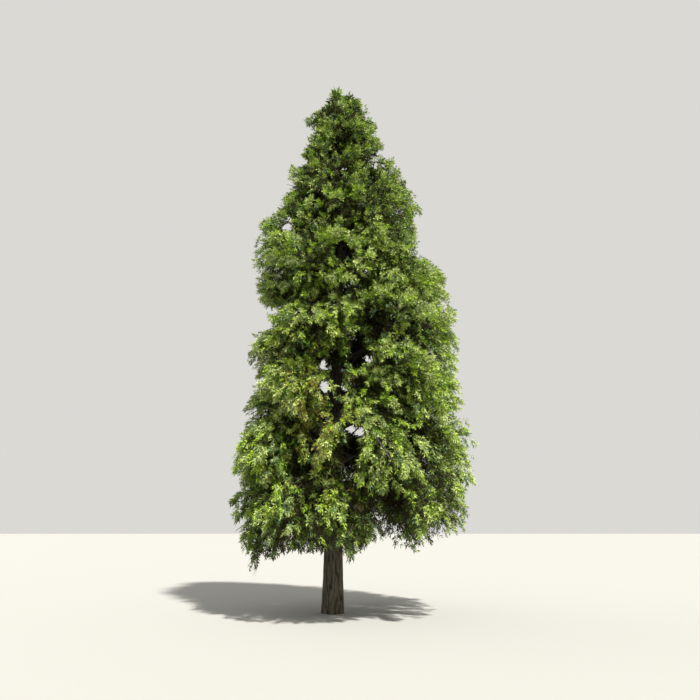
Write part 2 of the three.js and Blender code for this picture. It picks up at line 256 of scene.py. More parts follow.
def leaf_scale_group() -> bpy.types.ShaderNodeTree:
    """Makes the fine scales of a spray.

    Returns:
        The group, whose outputs are a mask for the gloss and a height for the bump.
    """
    usual = {"Scale": 260.0, "Least": 0.5, "Most": 0.75}
    graph, given, place = effect_group("leaf_scales", usual, ["Roughness", "Height"])
    scales = graph.node("TexVoronoi", {"Vector": place, "Scale": given["Scale"]}).outputs["Distance"]
    gloss = graph.node("MapRange", {"Value": scales, "To Min": given["Least"], "To Max": given["Most"]})
    graph.node("NodeGroupOutput", {"Roughness": gloss.outputs["Result"], "Height": scales})
    return graph.tree


def new_material(name: str) -> tuple[bpy.types.Material, Graph]:
    """Makes a material with an empty node tree.

    Args:
        name: Name of the material.

    Returns:
        The material and its graph.
    """
    material = bpy.data.materials.new(name)
    material.use_nodes = True
    return material, Graph(material.node_tree)


@dataclass(frozen=True)
class BarkFinish:
    """Fibrous bark: pale ridges, dark fissures and a little lichen, from a relief attribute and fibres."""

    name: str
    fissure: Colour
    ridge: Colour
    pale: Colour
    strip_scale: float
    thread_scale: float
    bump: float
    stops: tuple[float, float, float] = (0.18, 0.52, 0.86)
    relief_share: float = 0.62
    strip_share: float = 0.38
    thread_stops: tuple[float, float] = (0.3, 0.7)
    thread_dark: Colour = (0.62, 0.6, 0.58)
    thread_pale: Colour = (1.12, 1.1, 1.08)
    thread_share: float = 0.75
    lichen: Colour = linear(112, 110, 92)
    lichen_from: float = 0.56
    lichen_to: float = 0.72
    lichen_share: float = 0.4
    rough_least: float = 0.82
    rough_most: float = 0.97
    bump_strength: float = 0.8
    specular: float = 0.25

    def material(self, fibres: bpy.types.ShaderNodeTree) -> bpy.types.Material:
        """Builds the material.

        Args:
            fibres: The bark's shared fibre effect.

        Returns:
            The finished material.
        """
        material, graph = new_material(self.name)
        scales = {"Strip Scale": self.strip_scale, "Thread Scale": self.thread_scale}
        bark = graph.node("Group", scales, node_tree=fibres).outputs
        relief = graph.node("Attribute", attribute_name="relief").outputs["Fac"]
        share = graph.node("Math", {0: relief, 1: self.relief_share}, operation="MULTIPLY").outputs[0]
        parts = {0: bark["Strip"], 1: self.strip_share, 2: share}
        depth = graph.node("Math", parts, operation="MULTIPLY_ADD").outputs[0]
        base = graph.ramp(depth, list(zip(self.stops, (self.fissure, self.ridge, self.pale))))
        tones = zip(self.thread_stops, (self.thread_dark, self.thread_pale))
        threads = graph.ramp(bark["Thread"], list(tones))
        fibrous = graph.mix(self.thread_share, base, threads, "MULTIPLY")
        limits = {"Value": bark["Lichen"], "From Min": self.lichen_from, "From Max": self.lichen_to}
        mask = graph.node("MapRange", limits).outputs["Result"]
        grown = graph.node("Math", {0: mask, 1: self.lichen_share}, operation="MULTIPLY").outputs[0]
        limits = {"Value": bark["Thread"], "To Min": self.rough_least, "To Max": self.rough_most}
        threaded = {"Height": bark["Thread"], "Strength": self.bump_strength, "Distance": self.bump}
        graph.surface({
            "Base Color": graph.mix(grown, fibrous, (*self.lichen, 1.0), "MIX"),
            "Roughness": graph.node("MapRange", limits).outputs["Result"],
            "Normal": graph.node("Bump", threaded).outputs["Normal"],
            "Specular IOR Level": self.specular,
        })
        return material


@dataclass(frozen=True)
class LeafFinish:
    """One plain green of the foliage, with the fine scales in its gloss and bump."""

    name: str
    colour: Colour
    bump: float = 0.002
    bump_strength: float = 0.35
    specular: float = 0.17

    def material(self, scales: bpy.types.ShaderNodeTree) -> bpy.types.Material:
        """Builds the material.

        Args:
            scales: The sprays' shared scale effect.

        Returns:
            The finished material.
        """
        material, graph = new_material(self.name)
        fine = graph.node("Group", node_tree=scales).outputs
        scaly = {"Height": fine["Height"], "Strength": self.bump_strength, "Distance": self.bump}
        graph.surface({
            "Base Color": (*self.colour, 1.0),
            "Roughness": fine["Roughness"],
            "Normal": graph.node("Bump", scaly).outputs["Normal"],
            "Specular IOR Level": self.specular,
        })
        return material


class Tint(Enum):
    """The greens and browns that are dealt out to sprays, each a finish of its own. The row from INNER to TIP
    runs from dark to pale, partly the foliage's own age and partly painted shade and painted light.
    """

    INNER = LeafFinish("foliage_inner", linear(68, 66, 40))
    SHADE = LeafFinish("foliage_shade", linear(62, 75, 32))
    DEEP = LeafFinish("foliage_deep", linear(92, 112, 45))
    MID = LeafFinish("foliage_mid", linear(138, 158, 72))
    BRIGHT = LeafFinish("foliage_bright", linear(162, 178, 104))
    TIP = LeafFinish("foliage_tip", linear(174, 190, 112))
    FERN = LeafFinish("foliage_fern", linear(102, 136, 38))
    LIME = LeafFinish("foliage_lime", linear(150, 177, 54))
    BLUISH = LeafFinish("foliage_bluish", linear(98, 126, 84))
    SAGE = LeafFinish("foliage_sage", linear(146, 162, 104))
    OLIVE = LeafFinish("foliage_olive", linear(126, 124, 52))

    @property
    def slot(self) -> int:
        """Number of this tint's material on each leafy piece."""
        return list(Tint).index(self)


# The trunk's bark colours are its own grey-brown, made darker as painted shade from the crown that hangs over
# the trunk.
TRUNK_BARK = BarkFinish(
    "bark", linear(20, 19, 15), linear(60, 56, 47), linear(106, 99, 84), 17.0, 80.0, 0.006
)
BOUGH_BARK = BarkFinish(
    "bough_bark", linear(30, 26, 23), linear(78, 71, 64), linear(124, 115, 105), 34.0, 150.0, 0.003
)


# Meshes


def joined_mesh(
    name: str,
    points: Points,
    triangles: Points,
    materials: list[bpy.types.Material],
    slots: Points | None = None,
) -> bpy.types.Object:
    """Makes one object from arrays.

    Args:
        name: Name of the piece.
        points: All its points.
        triangles: The three point numbers of each face.
        materials: The piece's materials.
        slots: Number of each face's material, where there are several.

    Returns:
        The new object, linked to the scene.
    """
    mesh = bpy.data.meshes.new(name)
    mesh.vertices.add(len(points))
    mesh.vertices.foreach_set("co", points.astype(np.float32).ravel())
    mesh.loops.add(3 * len(triangles))
    mesh.loops.foreach_set("vertex_index", triangles.astype(np.int32).ravel())
    mesh.polygons.add(len(triangles))
    mesh.polygons.foreach_set("loop_start", np.arange(0, 3 * len(triangles), 3, dtype=np.int32))
    for material in materials:
        mesh.materials.append(material)
    if slots is not None:
        mesh.polygons.foreach_set("material_index", slots.astype(np.int32))
    mesh.update(calc_edges=True)
    piece = bpy.data.objects.new(name, mesh)
    bpy.context.scene.collection.objects.link(piece)
    return piece


def tapered_tubes(paths: Points, radii: Points, sides: int) -> tuple[Points, Points]:
    """Makes closed pointed tubes along paths that have the same number of points.

    Args:
        paths: The points of each path, with the last one as the tube's sharp end.
        radii: The radius at each point of each path. The last one isn't used.
        sides: Number of sides.

    Returns:
        All points, and the three point numbers of each face.
    """
    count, rings = paths.shape[0], paths.shape[1] - 1
    ways = unit(np.gradient(paths, axis=1))
    level, over = across(ways[:, :-1])
    turns = 2 * math.pi * np.arange(sides) / sides
    circle = level[:, :, None] * np.cos(turns)[:, None] + over[:, :, None] * np.sin(turns)[:, None]
    skin = paths[:, :-1, None] + radii[:, :-1, None, None] * circle
    points = np.concatenate([skin.reshape(count, -1, 3), paths[:, -1:]], axis=1)
    faces = []
    for side in range(sides):
        after = (side + 1) % sides
        for ring in range(rings - 1):
            low, high = ring * sides, (ring + 1) * sides
            faces += [(low + side, low + after, high + after), (low + side, high + after, high + side)]
        faces.append(((rings - 1) * sides + side, (rings - 1) * sides + after, rings * sides))
    faces += [(0, side + 1, side) for side in range(1, sides - 1)]
    triangles = np.array(faces)[None] + (np.arange(count) * points.shape[1])[:, None, None]
    return points.reshape(-1, 3), triangles.reshape(-1, 3)


def only(*things: bpy.types.Object) -> None:
    """Selects some objects and no others, and makes the first one active.

    Args:
        *things: The objects.
    """
    bpy.ops.object.select_all(action="DESELECT")
    for thing in things:
        thing.select_set(True)
    bpy.context.view_layer.objects.active = things[0]


def rising_edges(thing: bpy.types.Object, below: float) -> None:
    """Selects the edges of a mesh that run upwards, in edit mode.

    Args:
        thing: The object, in edit mode.
        below: Height under which both ends of an edge lie.
    """
    bpy.ops.mesh.select_mode(type="EDGE")
    bpy.ops.mesh.select_all(action="DESELECT")
    bpy.ops.object.mode_set(mode="OBJECT")
    mesh = thing.data
    heights = np.array([vertex.co.z for vertex in mesh.vertices])
    for edge in mesh.edges:
        low, high = sorted(heights[list(edge.vertices)])
        edge.select = bool(high - low > 1e-5 and high < below + 1e-5)
    bpy.ops.object.mode_set(mode="EDIT")


def ringed_cylinder(
    name: str, sides: int, rings: int, fine_share: float = 0.0, finer: int = 1
) -> bpy.types.Object:
    """Models an upright cylinder of radius and height 1 whose wall has many rings.

    Args:
        name: Name of the object.
        sides: Number of sides.
        rings: Number of rings of faces.
        fine_share: Share of the height, from the foot, where the rings are parted again.
        finer: How many rings each of those becomes.

    Returns:
        The object, in object mode.
    """
    bpy.ops.object.select_all(action="DESELECT")
    bpy.ops.mesh.primitive_cylinder_add(vertices=sides, radius=1, depth=1, location=(0, 0, 0.5))
    made = bpy.context.object
    made.name = made.data.name = name
    bpy.ops.object.mode_set(mode="EDIT")
    rising_edges(made, 1.0)
    bpy.ops.mesh.subdivide(number_cuts=rings - 1)
    if finer > 1:
        rising_edges(made, fine_share)
        bpy.ops.mesh.subdivide(number_cuts=finer - 1)
    bpy.ops.object.mode_set(mode="OBJECT")
    bpy.ops.object.transform_apply(location=True, rotation=True, scale=True)
    return made


def reshape(thing: bpy.types.Object, place: Callable[[Points], tuple[Points, Points]]) -> None:
    """Moves all points of a mesh at once, and keeps the bark's relief at each of them.

    Args:
        thing: The object to change.
        place: Takes the points and gives their new places, and their relief from 0, deep, to 1, high.
    """
    mesh = thing.data
    flat = np.empty(3 * len(mesh.vertices), np.float32)
    mesh.vertices.foreach_get("co", flat)
    moved, relief = place(flat.reshape(-1, 3).astype(float))
    mesh.vertices.foreach_set("co", moved.astype(np.float32).ravel())
    attribute = mesh.attributes.new("relief", "FLOAT", "POINT")
    attribute.data.foreach_set("value", relief.astype(np.float32))
    mesh.update()


def noise_at(rows: Points) -> Points:
    """Reads smooth noise, from about -1 to 1, at the place in each row."""
    return np.array([noise.noise(Vector(row)) for row in rows])


# Trunk


@dataclass(frozen=True)
class Grain:
    """One grain of the bark: how fine it is round and along the trunk, and where its noise starts."""

    around: float
    along: float
    start: float = 0.0

    def read(self, ring: Points, heights: Points) -> Points:
        """Reads the grain at places round the trunk and heights."""
        return noise_at(np.column_stack([ring * self.around + self.start, heights * self.along]))


@dataclass(frozen=True)
class Trunk:
    """The fluted trunk, from the flat cut at ground level to where the leader goes on."""

    tree_height: float = 12.6
    top: float = 11.35
    radius: float = 0.212
    least: float = 0.011
    taper_power: float = 1.3
    flare: float = 0.014
    flare_height: float = 0.26
    sway_x: float = 0.11
    sway_y: float = 0.06
    sway_power: float = 1.6
    flutes: int = 5
    flute_turn: float = 0.6
    flute_share: float = 0.075
    flute_height: float = 1.5
    sides: int = 144
    rings: int = 76
    fine_share: float = 0.34
    finer: int = 2
    ring_power: float = 1.5
    smooth_angle: float = 50.0
    twist: float = 0.12
    least_ring: float = 0.05
    broad: Grain = Grain(19.0, 1.35)
    narrow: Grain = Grain(42.0, 3.1, 7.3)
    flecks: Grain = Grain(95.0, 16.0, 31.0)
    broad_wide: float = 0.085
    narrow_wide: float = 0.1
    fissure: float = 0.012
    furrow: float = 0.006
    fleck: float = 0.0025
    thin_bark: float = 0.12
    fissure_dark: float = 0.75
    furrow_dark: float = 0.45
    fleck_pale: float = 0.18
    stand_out: float = 0.4

    def axis(self, heights: Points | float) -> Points:
        """Finds the middle of the trunk.

        Args:
            heights: Where to find it.

        Returns:
            The points on the trunk's middle line.
        """
        heights = np.asarray(heights, float)
        share = heights / self.tree_height
        x = self.sway_x * np.sin(math.pi * share**self.sway_power) ** 3
        y = self.sway_y * np.sin(2 * math.pi * share) * share
        return np.stack([x, y, heights], -1)

    def radius_at(self, heights: Points | float) -> Points:
        """Finds the trunk's radius, with its root flare but without the flutes.

        Args:
            heights: Where to find it.

        Returns:
            The radius at each height.
        """
        heights = np.asarray(heights, float)
        cone = self.radius * np.maximum(0.0, 1 - heights / self.tree_height) ** self.taper_power
        return np.maximum(self.least, cone + self.flare * np.exp(-heights / self.flare_height))

    def bark(self, angles: Points, heights: Points, radii: Points) -> tuple[Points, Points]:
        """Works out the bark's relief: long narrow fissures between flat fibrous strips.

        Args:
            angles: Angle of each point round the trunk.
            heights: Height of each point.
            radii: Radius of the trunk there.

        Returns:
            How far each point stands in from the trunk's smooth wall, and its relief from 0 to 1.
        """
        twisted = angles + self.twist * heights
        ring = np.stack([np.sin(twisted), np.cos(twisted)], -1) * np.maximum(radii, self.least_ring)[:, None]
        broad, narrow, flecks = (g.read(ring, heights) for g in (self.broad, self.narrow, self.flecks))
        wide_cut = np.exp(-((broad / self.broad_wide) ** 2))
        thin_cut = np.exp(-((narrow / self.narrow_wide) ** 2))
        scale = np.clip(radii / self.radius, self.thin_bark, 1.0)
        cuts = self.fissure * wide_cut + self.furrow * thin_cut + self.fleck * (0.5 - 0.5 * flecks)
        relief = 1 - self.fissure_dark * wide_cut - self.furrow_dark * thin_cut + self.fleck_pale * flecks
        return scale * cuts, np.clip(relief, 0, 1)

    def place(self, points: Points) -> tuple[Points, Points]:
        """Moves the points of an upright cylinder of size 1 onto the trunk.

        Args:
            points: The cylinder's points.

        Returns:
            Their places on the trunk, and the bark's relief there.
        """
        heights = self.top * np.clip(points[:, 2], 0, 1) ** self.ring_power
        angles = np.arctan2(points[:, 0], -points[:, 1])
        fluting = self.flute_share * np.exp(-heights / self.flute_height)
        radii = self.radius_at(heights) * (1 + fluting * np.cos(self.flutes * angles + self.flute_turn))
        depth, relief = self.bark(angles, heights, radii)
        outward = np.stack([np.sin(angles), -np.cos(angles), np.zeros_like(angles)], -1)
        wall = radii - depth + self.stand_out * self.fissure * np.clip(radii / self.radius, 0, 1)
        return self.axis(heights) + outward * wall[:, None], relief

    def build(self, fibres: bpy.types.ShaderNodeTree) -> bpy.types.Object:
        """Models the trunk and dresses it.

        Args:
            fibres: The bark's shared fibre effect.

        Returns:
            The finished piece.
        """
        trunk = ringed_cylinder("trunk_bark", self.sides, self.rings, self.fine_share, self.finer)
        reshape(trunk, self.place)
        only(trunk)
        bpy.ops.object.shade_smooth_by_angle(angle=math.radians(self.smooth_angle))
        trunk.data.materials.append(TRUNK_BARK.material(fibres))
        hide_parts("trunk")
        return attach(trunk, "root")


# Crown: its outline, its limbs and the space of each mass


@dataclass(frozen=True)
class Opening:
    """A gap in the foliage along a line of sight, round a point in the plane of the trunk."""

    x: float
    z: float
    half_wide: float
    half_high: float
    through: bool = True


@dataclass(frozen=True)
class Crown:
    """The crown's outline and the openings in it, as they are seen from the front.

    Each row of the outline is a height and the reach to the left and to the right of the trunk's middle,
    and each row of the skirt is an x and the height of the lowest foliage there.
    """

    trunk: Trunk
    eye: Place = (0.34, -12.6, 1.6)
    outline: tuple[tuple[float, float, float], ...] = (
        (0.64, 1.66, -1.62), (1.15, 1.90, 2.00), (1.46, 1.98, 2.64), (1.75, 2.04, 2.86),
        (2.20, 2.15, 3.00), (2.50, 2.18, 3.04), (3.00, 2.15, 3.04), (4.10, 1.97, 2.92),
        (4.48, 1.92, 2.83), (5.88, 2.14, 2.76), (6.00, 1.46, 2.74), (6.40, 1.62, 2.68),
        (6.80, 1.95, 2.64), (7.05, 2.03, 2.45), (7.35, 2.08, 2.54), (7.62, 2.18, 2.40),
        (7.80, 2.14, 2.06), (7.99, 2.10, 1.82), (8.30, 2.07, 1.92), (8.83, 1.98, 2.06),
        (9.08, 1.70, 2.03), (9.22, 1.44, 2.04), (9.45, 1.44, 2.06), (9.72, 1.32, 1.62),
        (10.38, 1.30, 1.54), (10.52, 1.02, 1.48), (11.20, 0.76, 1.24), (11.55, 0.92, 1.10),
        (11.86, 0.78, 0.80), (12.05, 0.50, 0.80), (12.14, 0.24, 0.78), (12.36, 0.12, 0.58),
        (12.46, 0.05, 0.32), (12.60, 0.02, 0.06),
    )
    skirt: tuple[tuple[float, float], ...] = (
        (-2.30, 1.30), (-2.02, 0.98), (-1.92, 0.58), (-1.58, 0.60), (-1.48, 1.04), (-1.25, 0.92),
        (-1.05, 1.12), (0.10, 1.12), (0.34, 0.88), (0.55, 1.14), (1.40, 1.24), (1.72, 1.06),
        (1.92, 1.24), (2.44, 1.38), (2.74, 1.54), (2.95, 1.85),
    )
    openings: tuple[Opening, ...] = (
        Opening(-0.24, 4.63, 0.12, 0.2), Opening(0.34, 3.71, 0.15, 0.12), Opening(0.55, 3.64, 0.13, 0.13),
        Opening(-0.27, 5.15, 0.12, 0.17), Opening(0.15, 4.92, 0.035, 0.16), Opening(0.74, 5.28, 0.12, 0.11),
        Opening(0.11, 5.13, 0.05, 0.05), Opening(-0.6, 6.4, 0.08, 0.05), Opening(-0.88, 6.43, 0.07, 0.05),
        Opening(0.7, 7.45, 0.08, 0.07), Opening(-1.18, 8.6, 0.15, 0.1), Opening(-0.43, 9.6, 0.08, 0.06),
        Opening(-1.12, 9.81, 0.06, 0.1), Opening(0.21, 10.25, 0.13, 0.06), Opening(-0.86, 10.48, 0.12, 0.12),
        Opening(-0.63, 11.4, 0.05, 0.07),
        Opening(0.0, 4.95, 0.09, 0.25, through=False), Opening(0.06, 4.08, 0.1, 0.26, through=False),
        Opening(0.5, 5.5, 0.15, 0.48, through=False), Opening(0.14, 8.0, 0.2, 0.26, through=False),
    )
    least_reach: float = 0.02
    least_gap: float = 0.01
    before_trunk: float = -0.02
    hollow_front: float = -0.3
    hollow_x: float = 0.2
    hollow_lean: float = 0.1
    hollow_lean_from: float = 6.5
    hollow_wide: float = 0.4
    hollow_z: float = 6.3
    hollow_high: float = 2.6
    uneven_scale: float = 0.95
    uneven_least: float = -0.26

    def reach(self, heights: Points, azimuths: Points) -> Points:
        """Finds how far the crown reaches from the trunk's axis.

        Args:
            heights: Where to find it.
            azimuths: In which directions, from +X towards +Y.

        Returns:
            The reach, which is below 0 where there is no foliage.
        """
        rows = np.array(self.outline)
        left, right = (np.interp(heights, rows[:, 0], rows[:, side], left=-1, right=-1) for side in (1, 2))
        return (left + right) / 2 + (right - left) / 2 * np.cos(azimuths)

    def rim(self, points: Points) -> Points:
        """Says how near points are to the crown's edge.

        Args:
            points: The points.

        Returns:
            0 at the trunk, 1 at the edge and more outside.
        """
        offsets = points - self.trunk.axis(points[..., 2])
        reach = self.reach(points[..., 2], np.arctan2(offsets[..., 1], offsets[..., 0]))
        away = np.hypot(offsets[..., 0], offsets[..., 1])
        return np.where(reach > self.least_reach, away / np.maximum(reach, self.least_reach), FAR)

    def front(self, points: Points) -> Points:
        """Says how far round points stand: 0 at the crown's left and right, 1 in front and behind."""
        offsets = points - self.trunk.axis(points[..., 2])
        return np.abs(offsets[..., 1]) / np.maximum(np.hypot(offsets[..., 0], offsets[..., 1]), 0.01)

    def sighted(self, points: Points) -> Points:
        """Carries points along the line of sight to the plane of the trunk.

        Args:
            points: The points.

        Returns:
            Their x and z there.
        """
        eye = np.array(self.eye)
        share = -eye[1] / np.maximum(points[..., 1] - eye[1], 1.0)
        return (eye + (points - eye) * share[..., None])[..., [0, 2]]

    def over_skirt(self, points: Points) -> Points:
        """Measures how high points stand over the foliage's lower edge, along lines of sight.

        Args:
            points: The points.

        Returns:
            Their heights over the edge.
        """
        seen = self.sighted(points)
        rows = np.array(self.skirt)
        return seen[..., 1] - np.interp(seen[..., 0], rows[:, 0], rows[:, 1])

    def framed(self, points: Points) -> Points:
        """Measures how far points stand inside the crown's outline, along lines of sight.

        Args:
            points: The points.

        Returns:
            Their distances from the nearer side, below 0 outside.
        """
        seen, rows = self.sighted(points), np.array(self.outline)
        left, right = (np.interp(seen[..., 1], rows[:, 0], rows[:, side]) for side in (1, 2))
        offset = seen[..., 0] - self.trunk.axis(seen[..., 1])[..., 0]
        return np.minimum(offset + left, right - offset)

    def hollow(self, place: Points) -> bool:
        """Says whether a place is one for a gap between plumes.

        Args:
            place: The place.

        Returns:
            Whether it lies in the shaded hollow down the front of the trunk, or where the crown is thin.
        """
        x, z = self.sighted(place)
        aside = (x - self.hollow_x - self.hollow_lean * (self.hollow_lean_from - z)) / self.hollow_wide
        above = (z - self.hollow_z) / self.hollow_high
        valley = place[1] < self.hollow_front and aside**2 + above**2 < 1
        return bool(valley or noise.noise(Vector(place * self.uneven_scale)) < self.uneven_least)

    def seen_through(self, points: Points, slack: Points, only_through: bool = False) -> Points:
        """Says which points stand in an opening.

        Args:
            points: The points.
            slack: How much each point sees the openings grown or shrunk, which leaves them ragged.
            only_through: Whether openings that only bare the trunk count as closed.

        Returns:
            Whether each point lies in an opening.
        """
        seen = self.sighted(points)
        found = np.zeros(points.shape[:-1], bool)
        for gap in self.openings:
            if only_through and not gap.through:
                continue
            across_gap = (seen[..., 0] - gap.x) / np.maximum(gap.half_wide + slack, self.least_gap)
            up_gap = (seen[..., 1] - gap.z) / np.maximum(gap.half_high + slack, self.least_gap)
            inside = across_gap**2 + up_gap**2 < 1
            found |= inside if gap.through else inside & (points[..., 1] < self.before_trunk)
        return found


@dataclass(frozen=True)
class Limb:
    """A limb's curve, with three points that steer it."""

    root: Points
    middle: Points
    tip: Points

    def at(self, along: Points | float) -> Points:
        """Finds points on the limb, at shares of it."""
        t = np.asarray(along, float)[..., None]
        return (1 - t) ** 2 * self.root + 2 * t * (1 - t) * self.middle + t**2 * self.tip

    def way(self, along: Points | float) -> Points:
        """Finds the limb's direction, at shares of it."""
        t = np.asarray(along, float)[..., None]
        return unit((1 - t) * (self.middle - self.root) + t * (self.tip - self.middle))

    def length(self) -> float:
        """Measures the limb."""
        steps = np.diff(self.at(np.linspace(0, 1, 65)), axis=0)
        return float(np.linalg.norm(steps, axis=1).sum())


@dataclass
class Space:
    """The space of one mass: an ellipsoid, cut by walls where it meets the next masses."""

    middle: Points
    axes: Points
    half: Points
    walls: list[tuple[Points, float]] = field(default_factory=list)

    @classmethod
    def round_limb(
        cls, limb: Limb, start: float, past: float, half_wide: float, half_deep: float
    ) -> "Space":
        """Puts the ellipsoid round the outer part of a limb.

        Args:
            limb: The limb.
            start: Share of the limb where the space starts.
            past: Share of it where the space ends.
            half_wide: Half the space's width.
            half_deep: Half its depth.

        Returns:
            The space, still without walls.
        """
        inner = limb.at(start)
        along = (limb.at(1.0) - inner) * (past - start) / (1 - start)
        middle = (limb.at((1 + start) / 2) + inner + along / 2) / 2
        way = unit(along)
        half = np.array([np.linalg.norm(along) / 2, half_wide, half_deep])
        return cls(middle, np.array([way, *across(way)]), half)

    def wall_room(self, points: Points) -> Points:
        """Measures how far points stand from the nearest wall.

        Args:
            points: The points.

        Returns:
            Their distances, or 0 past a wall.
        """
        room = np.full(points.shape[:-1], FAR)
        for normal, depth in self.walls:
            room = np.minimum(room, depth - points @ normal)
        return np.maximum(room, 0.0)

    def size(self) -> float:
        """Gives the space's size for sharing out room between two spaces."""
        return float(np.cbrt(np.prod(self.half)))

    def part_from(self, other: "Space", gap: float) -> None:
        """Parts this space from another by a plane between their middles.

        Args:
            other: The other space.
            gap: How far apart the two are kept.
        """
        way = other.middle - self.middle
        place = self.middle + way * self.size() / (self.size() + other.size())
        normal = unit(way)
        depth = float(normal @ place)
        self.walls.append((normal, depth - gap / 2))
        other.walls.append((-normal, -depth - gap / 2))

    def holds(self, points: Points, slack: Points | float = 0.0) -> Points:
        """Says which points lie in the space.

        Args:
            points: The points.
            slack: How far past the walls and the ellipsoid a point may stand.

        Returns:
            Whether each point lies in the space.
        """
        offsets = (points - self.middle) @ self.axes.T
        room = self.half + np.asarray(slack)[..., None]
        inside = ((offsets / room) ** 2).sum(-1) <= 1
        for normal, depth in self.walls:
            inside &= points @ normal <= depth + slack
        return inside


@dataclass(frozen=True)
class Tier:
    """One tier of foliage: where its masses end, how its limbs rise and bow, and how its twigs hang."""

    height: float
    count: int
    phase: float
    rise: float
    arch: float
    droop: float
    plumes: int
    bough: bool = False


@dataclass
class Mass:
    """One mass of foliage with its limb, its space and its own seed."""

    name: str
    tier: int
    limb: Limb
    space: Space
    droop: float
    plumes: int
    seed: int
    stem_from: float


@dataclass(frozen=True)
class Plan:
    """Works out all limbs and masses from the tiers, as the frame's source does."""

    trunk: Trunk
    crown: Crown
    tiers: tuple[Tier, ...] = (
        Tier(1.50, 5, 187, -0.65, 0.16, 0.75, 36, True),
        Tier(2.85, 5, 4, -0.35, 0.16, 0.60, 38, True),
        Tier(4.20, 5, 172, -0.05, 0.14, 0.45, 36, True),
        Tier(5.60, 4, -24, 0.30, 0.10, 0.34, 38),
        Tier(7.00, 4, 70, 0.56, 0.08, 0.26, 34),
        Tier(8.40, 3, 176, 0.72, 0.06, 0.14, 36),
        Tier(9.80, 4, -4, 0.76, 0.05, 0.04, 22),
        Tier(11.05, 3, 176, 0.72, 0.04, -0.08, 20),
        Tier(7.50, 1, 22, 2.85, 0.10, 0.15, 26, True),
    )
    side: int = 8
    spacing: float = 1.35
    top_wide: float = 0.85
    top_deep: float = 0.95
    top_droop: float = -0.35
    top_plumes: int = 20
    top_shift: float = -0.03
    top_seed: int = 20011
    tip_seeds: tuple[int, int] = (500, 29)
    mass_seeds: tuple[int, int, int] = (1000, 37, 11)
    root_step: float = 0.15
    tip_uneven: float = 0.17
    bough_share: float = 0.36
    space_start: float = 0.14
    side_start: float = 0.55
    space_past: float = 1.06
    space_wide: float = 1.7
    space_deep: float = 1.15
    space_gap: float = 0.014

    def limb(self, tier: Tier, azimuth: float, root_off: float, tip_off: float) -> Limb:
        """Runs a limb from the trunk's middle out to the crown's edge, bowed up.

        Args:
            tier: The limb's tier.
            azimuth: Where it points, in radians from +X towards +Y.
            root_off: How much higher than its tier it starts.
            tip_off: How much higher than its tier it ends.

        Returns:
            The limb.
        """
        root = self.trunk.axis(tier.height - tier.rise + root_off)
        outward = np.array([math.cos(azimuth), math.sin(azimuth), 0.0])
        height = tier.height + tip_off
        tip = self.trunk.axis(height) + outward * float(self.crown.reach(np.array(height), np.array(azimuth)))
        middle = (root + tip) / 2 + UP * 2 * tier.arch * np.linalg.norm(tip - root)
        return Limb(root, middle, tip)

    def mass(self, level: int, index: int) -> Mass:
        """Plans one mass of a tier.

        Args:
            level: Number of the tier.
            index: Number of the mass in its tier.

        Returns:
            The mass.
        """
        tier, beside = self.tiers[level], level == self.side
        azimuth = math.radians(tier.phase + 360 / tier.count * index)
        by_tier, by_mass = self.tip_seeds
        uneven = 2 * Numbers(by_tier * (level + 1) + by_mass * index).one() - 1
        lift = 0.0 if beside else self.tip_uneven * uneven
        limb = self.limb(tier, azimuth, self.root_step * (index - (tier.count - 1) / 2), lift)
        start = self.side_start if beside else self.space_start
        middle_reach = float(self.crown.reach(np.array(tier.height), np.array(azimuth))) * (1 + start) / 2
        half_wide = self.space_wide * math.pi * middle_reach / max(4, tier.count)
        space = Space.round_limb(limb, start, self.space_past, half_wide, self.space_deep * self.spacing)
        name = "side" if beside else f"{level + 1}_{index + 1}"
        by_tier, by_mass, more = self.mass_seeds
        seed = by_tier * (level + 1) + by_mass * index + more
        stem_from = self.bough_share if tier.bough else 0.0
        return Mass(name, level, limb, space, tier.droop, tier.plumes, seed, stem_from)

    def top_mass(self) -> Mass:
        """Plans the upright mass round the leader.

        Returns:
            The mass.
        """
        trunk = self.trunk
        tip = trunk.axis(trunk.tree_height) + np.array([self.top_shift, 0.0, 0.0])
        leader = Limb(trunk.axis(trunk.top), trunk.axis((trunk.top + trunk.tree_height) / 2), tip)
        space = Space.round_limb(leader, 0.0, self.space_past, self.top_wide, self.top_wide)
        space.half[0] = self.top_deep
        space.middle = trunk.axis(trunk.tree_height - self.top_deep)
        level = len(self.tiers)
        return Mass("top", level, leader, space, self.top_droop, self.top_plumes, self.top_seed, 0.0)

    def masses(self) -> list[Mass]:
        """Plans all masses and parts their spaces.

        Returns:
            The masses, tier by tier, with the one round the leader as the last.
        """
        planned = [self.mass(level, i) for level, tier in enumerate(self.tiers) for i in range(tier.count)]
        planned.append(self.top_mass())
        for i, mass in enumerate(planned):
            for other in planned[i + 1:]:
                mass.space.part_from(other.space, self.space_gap)
        return planned


# Boughs


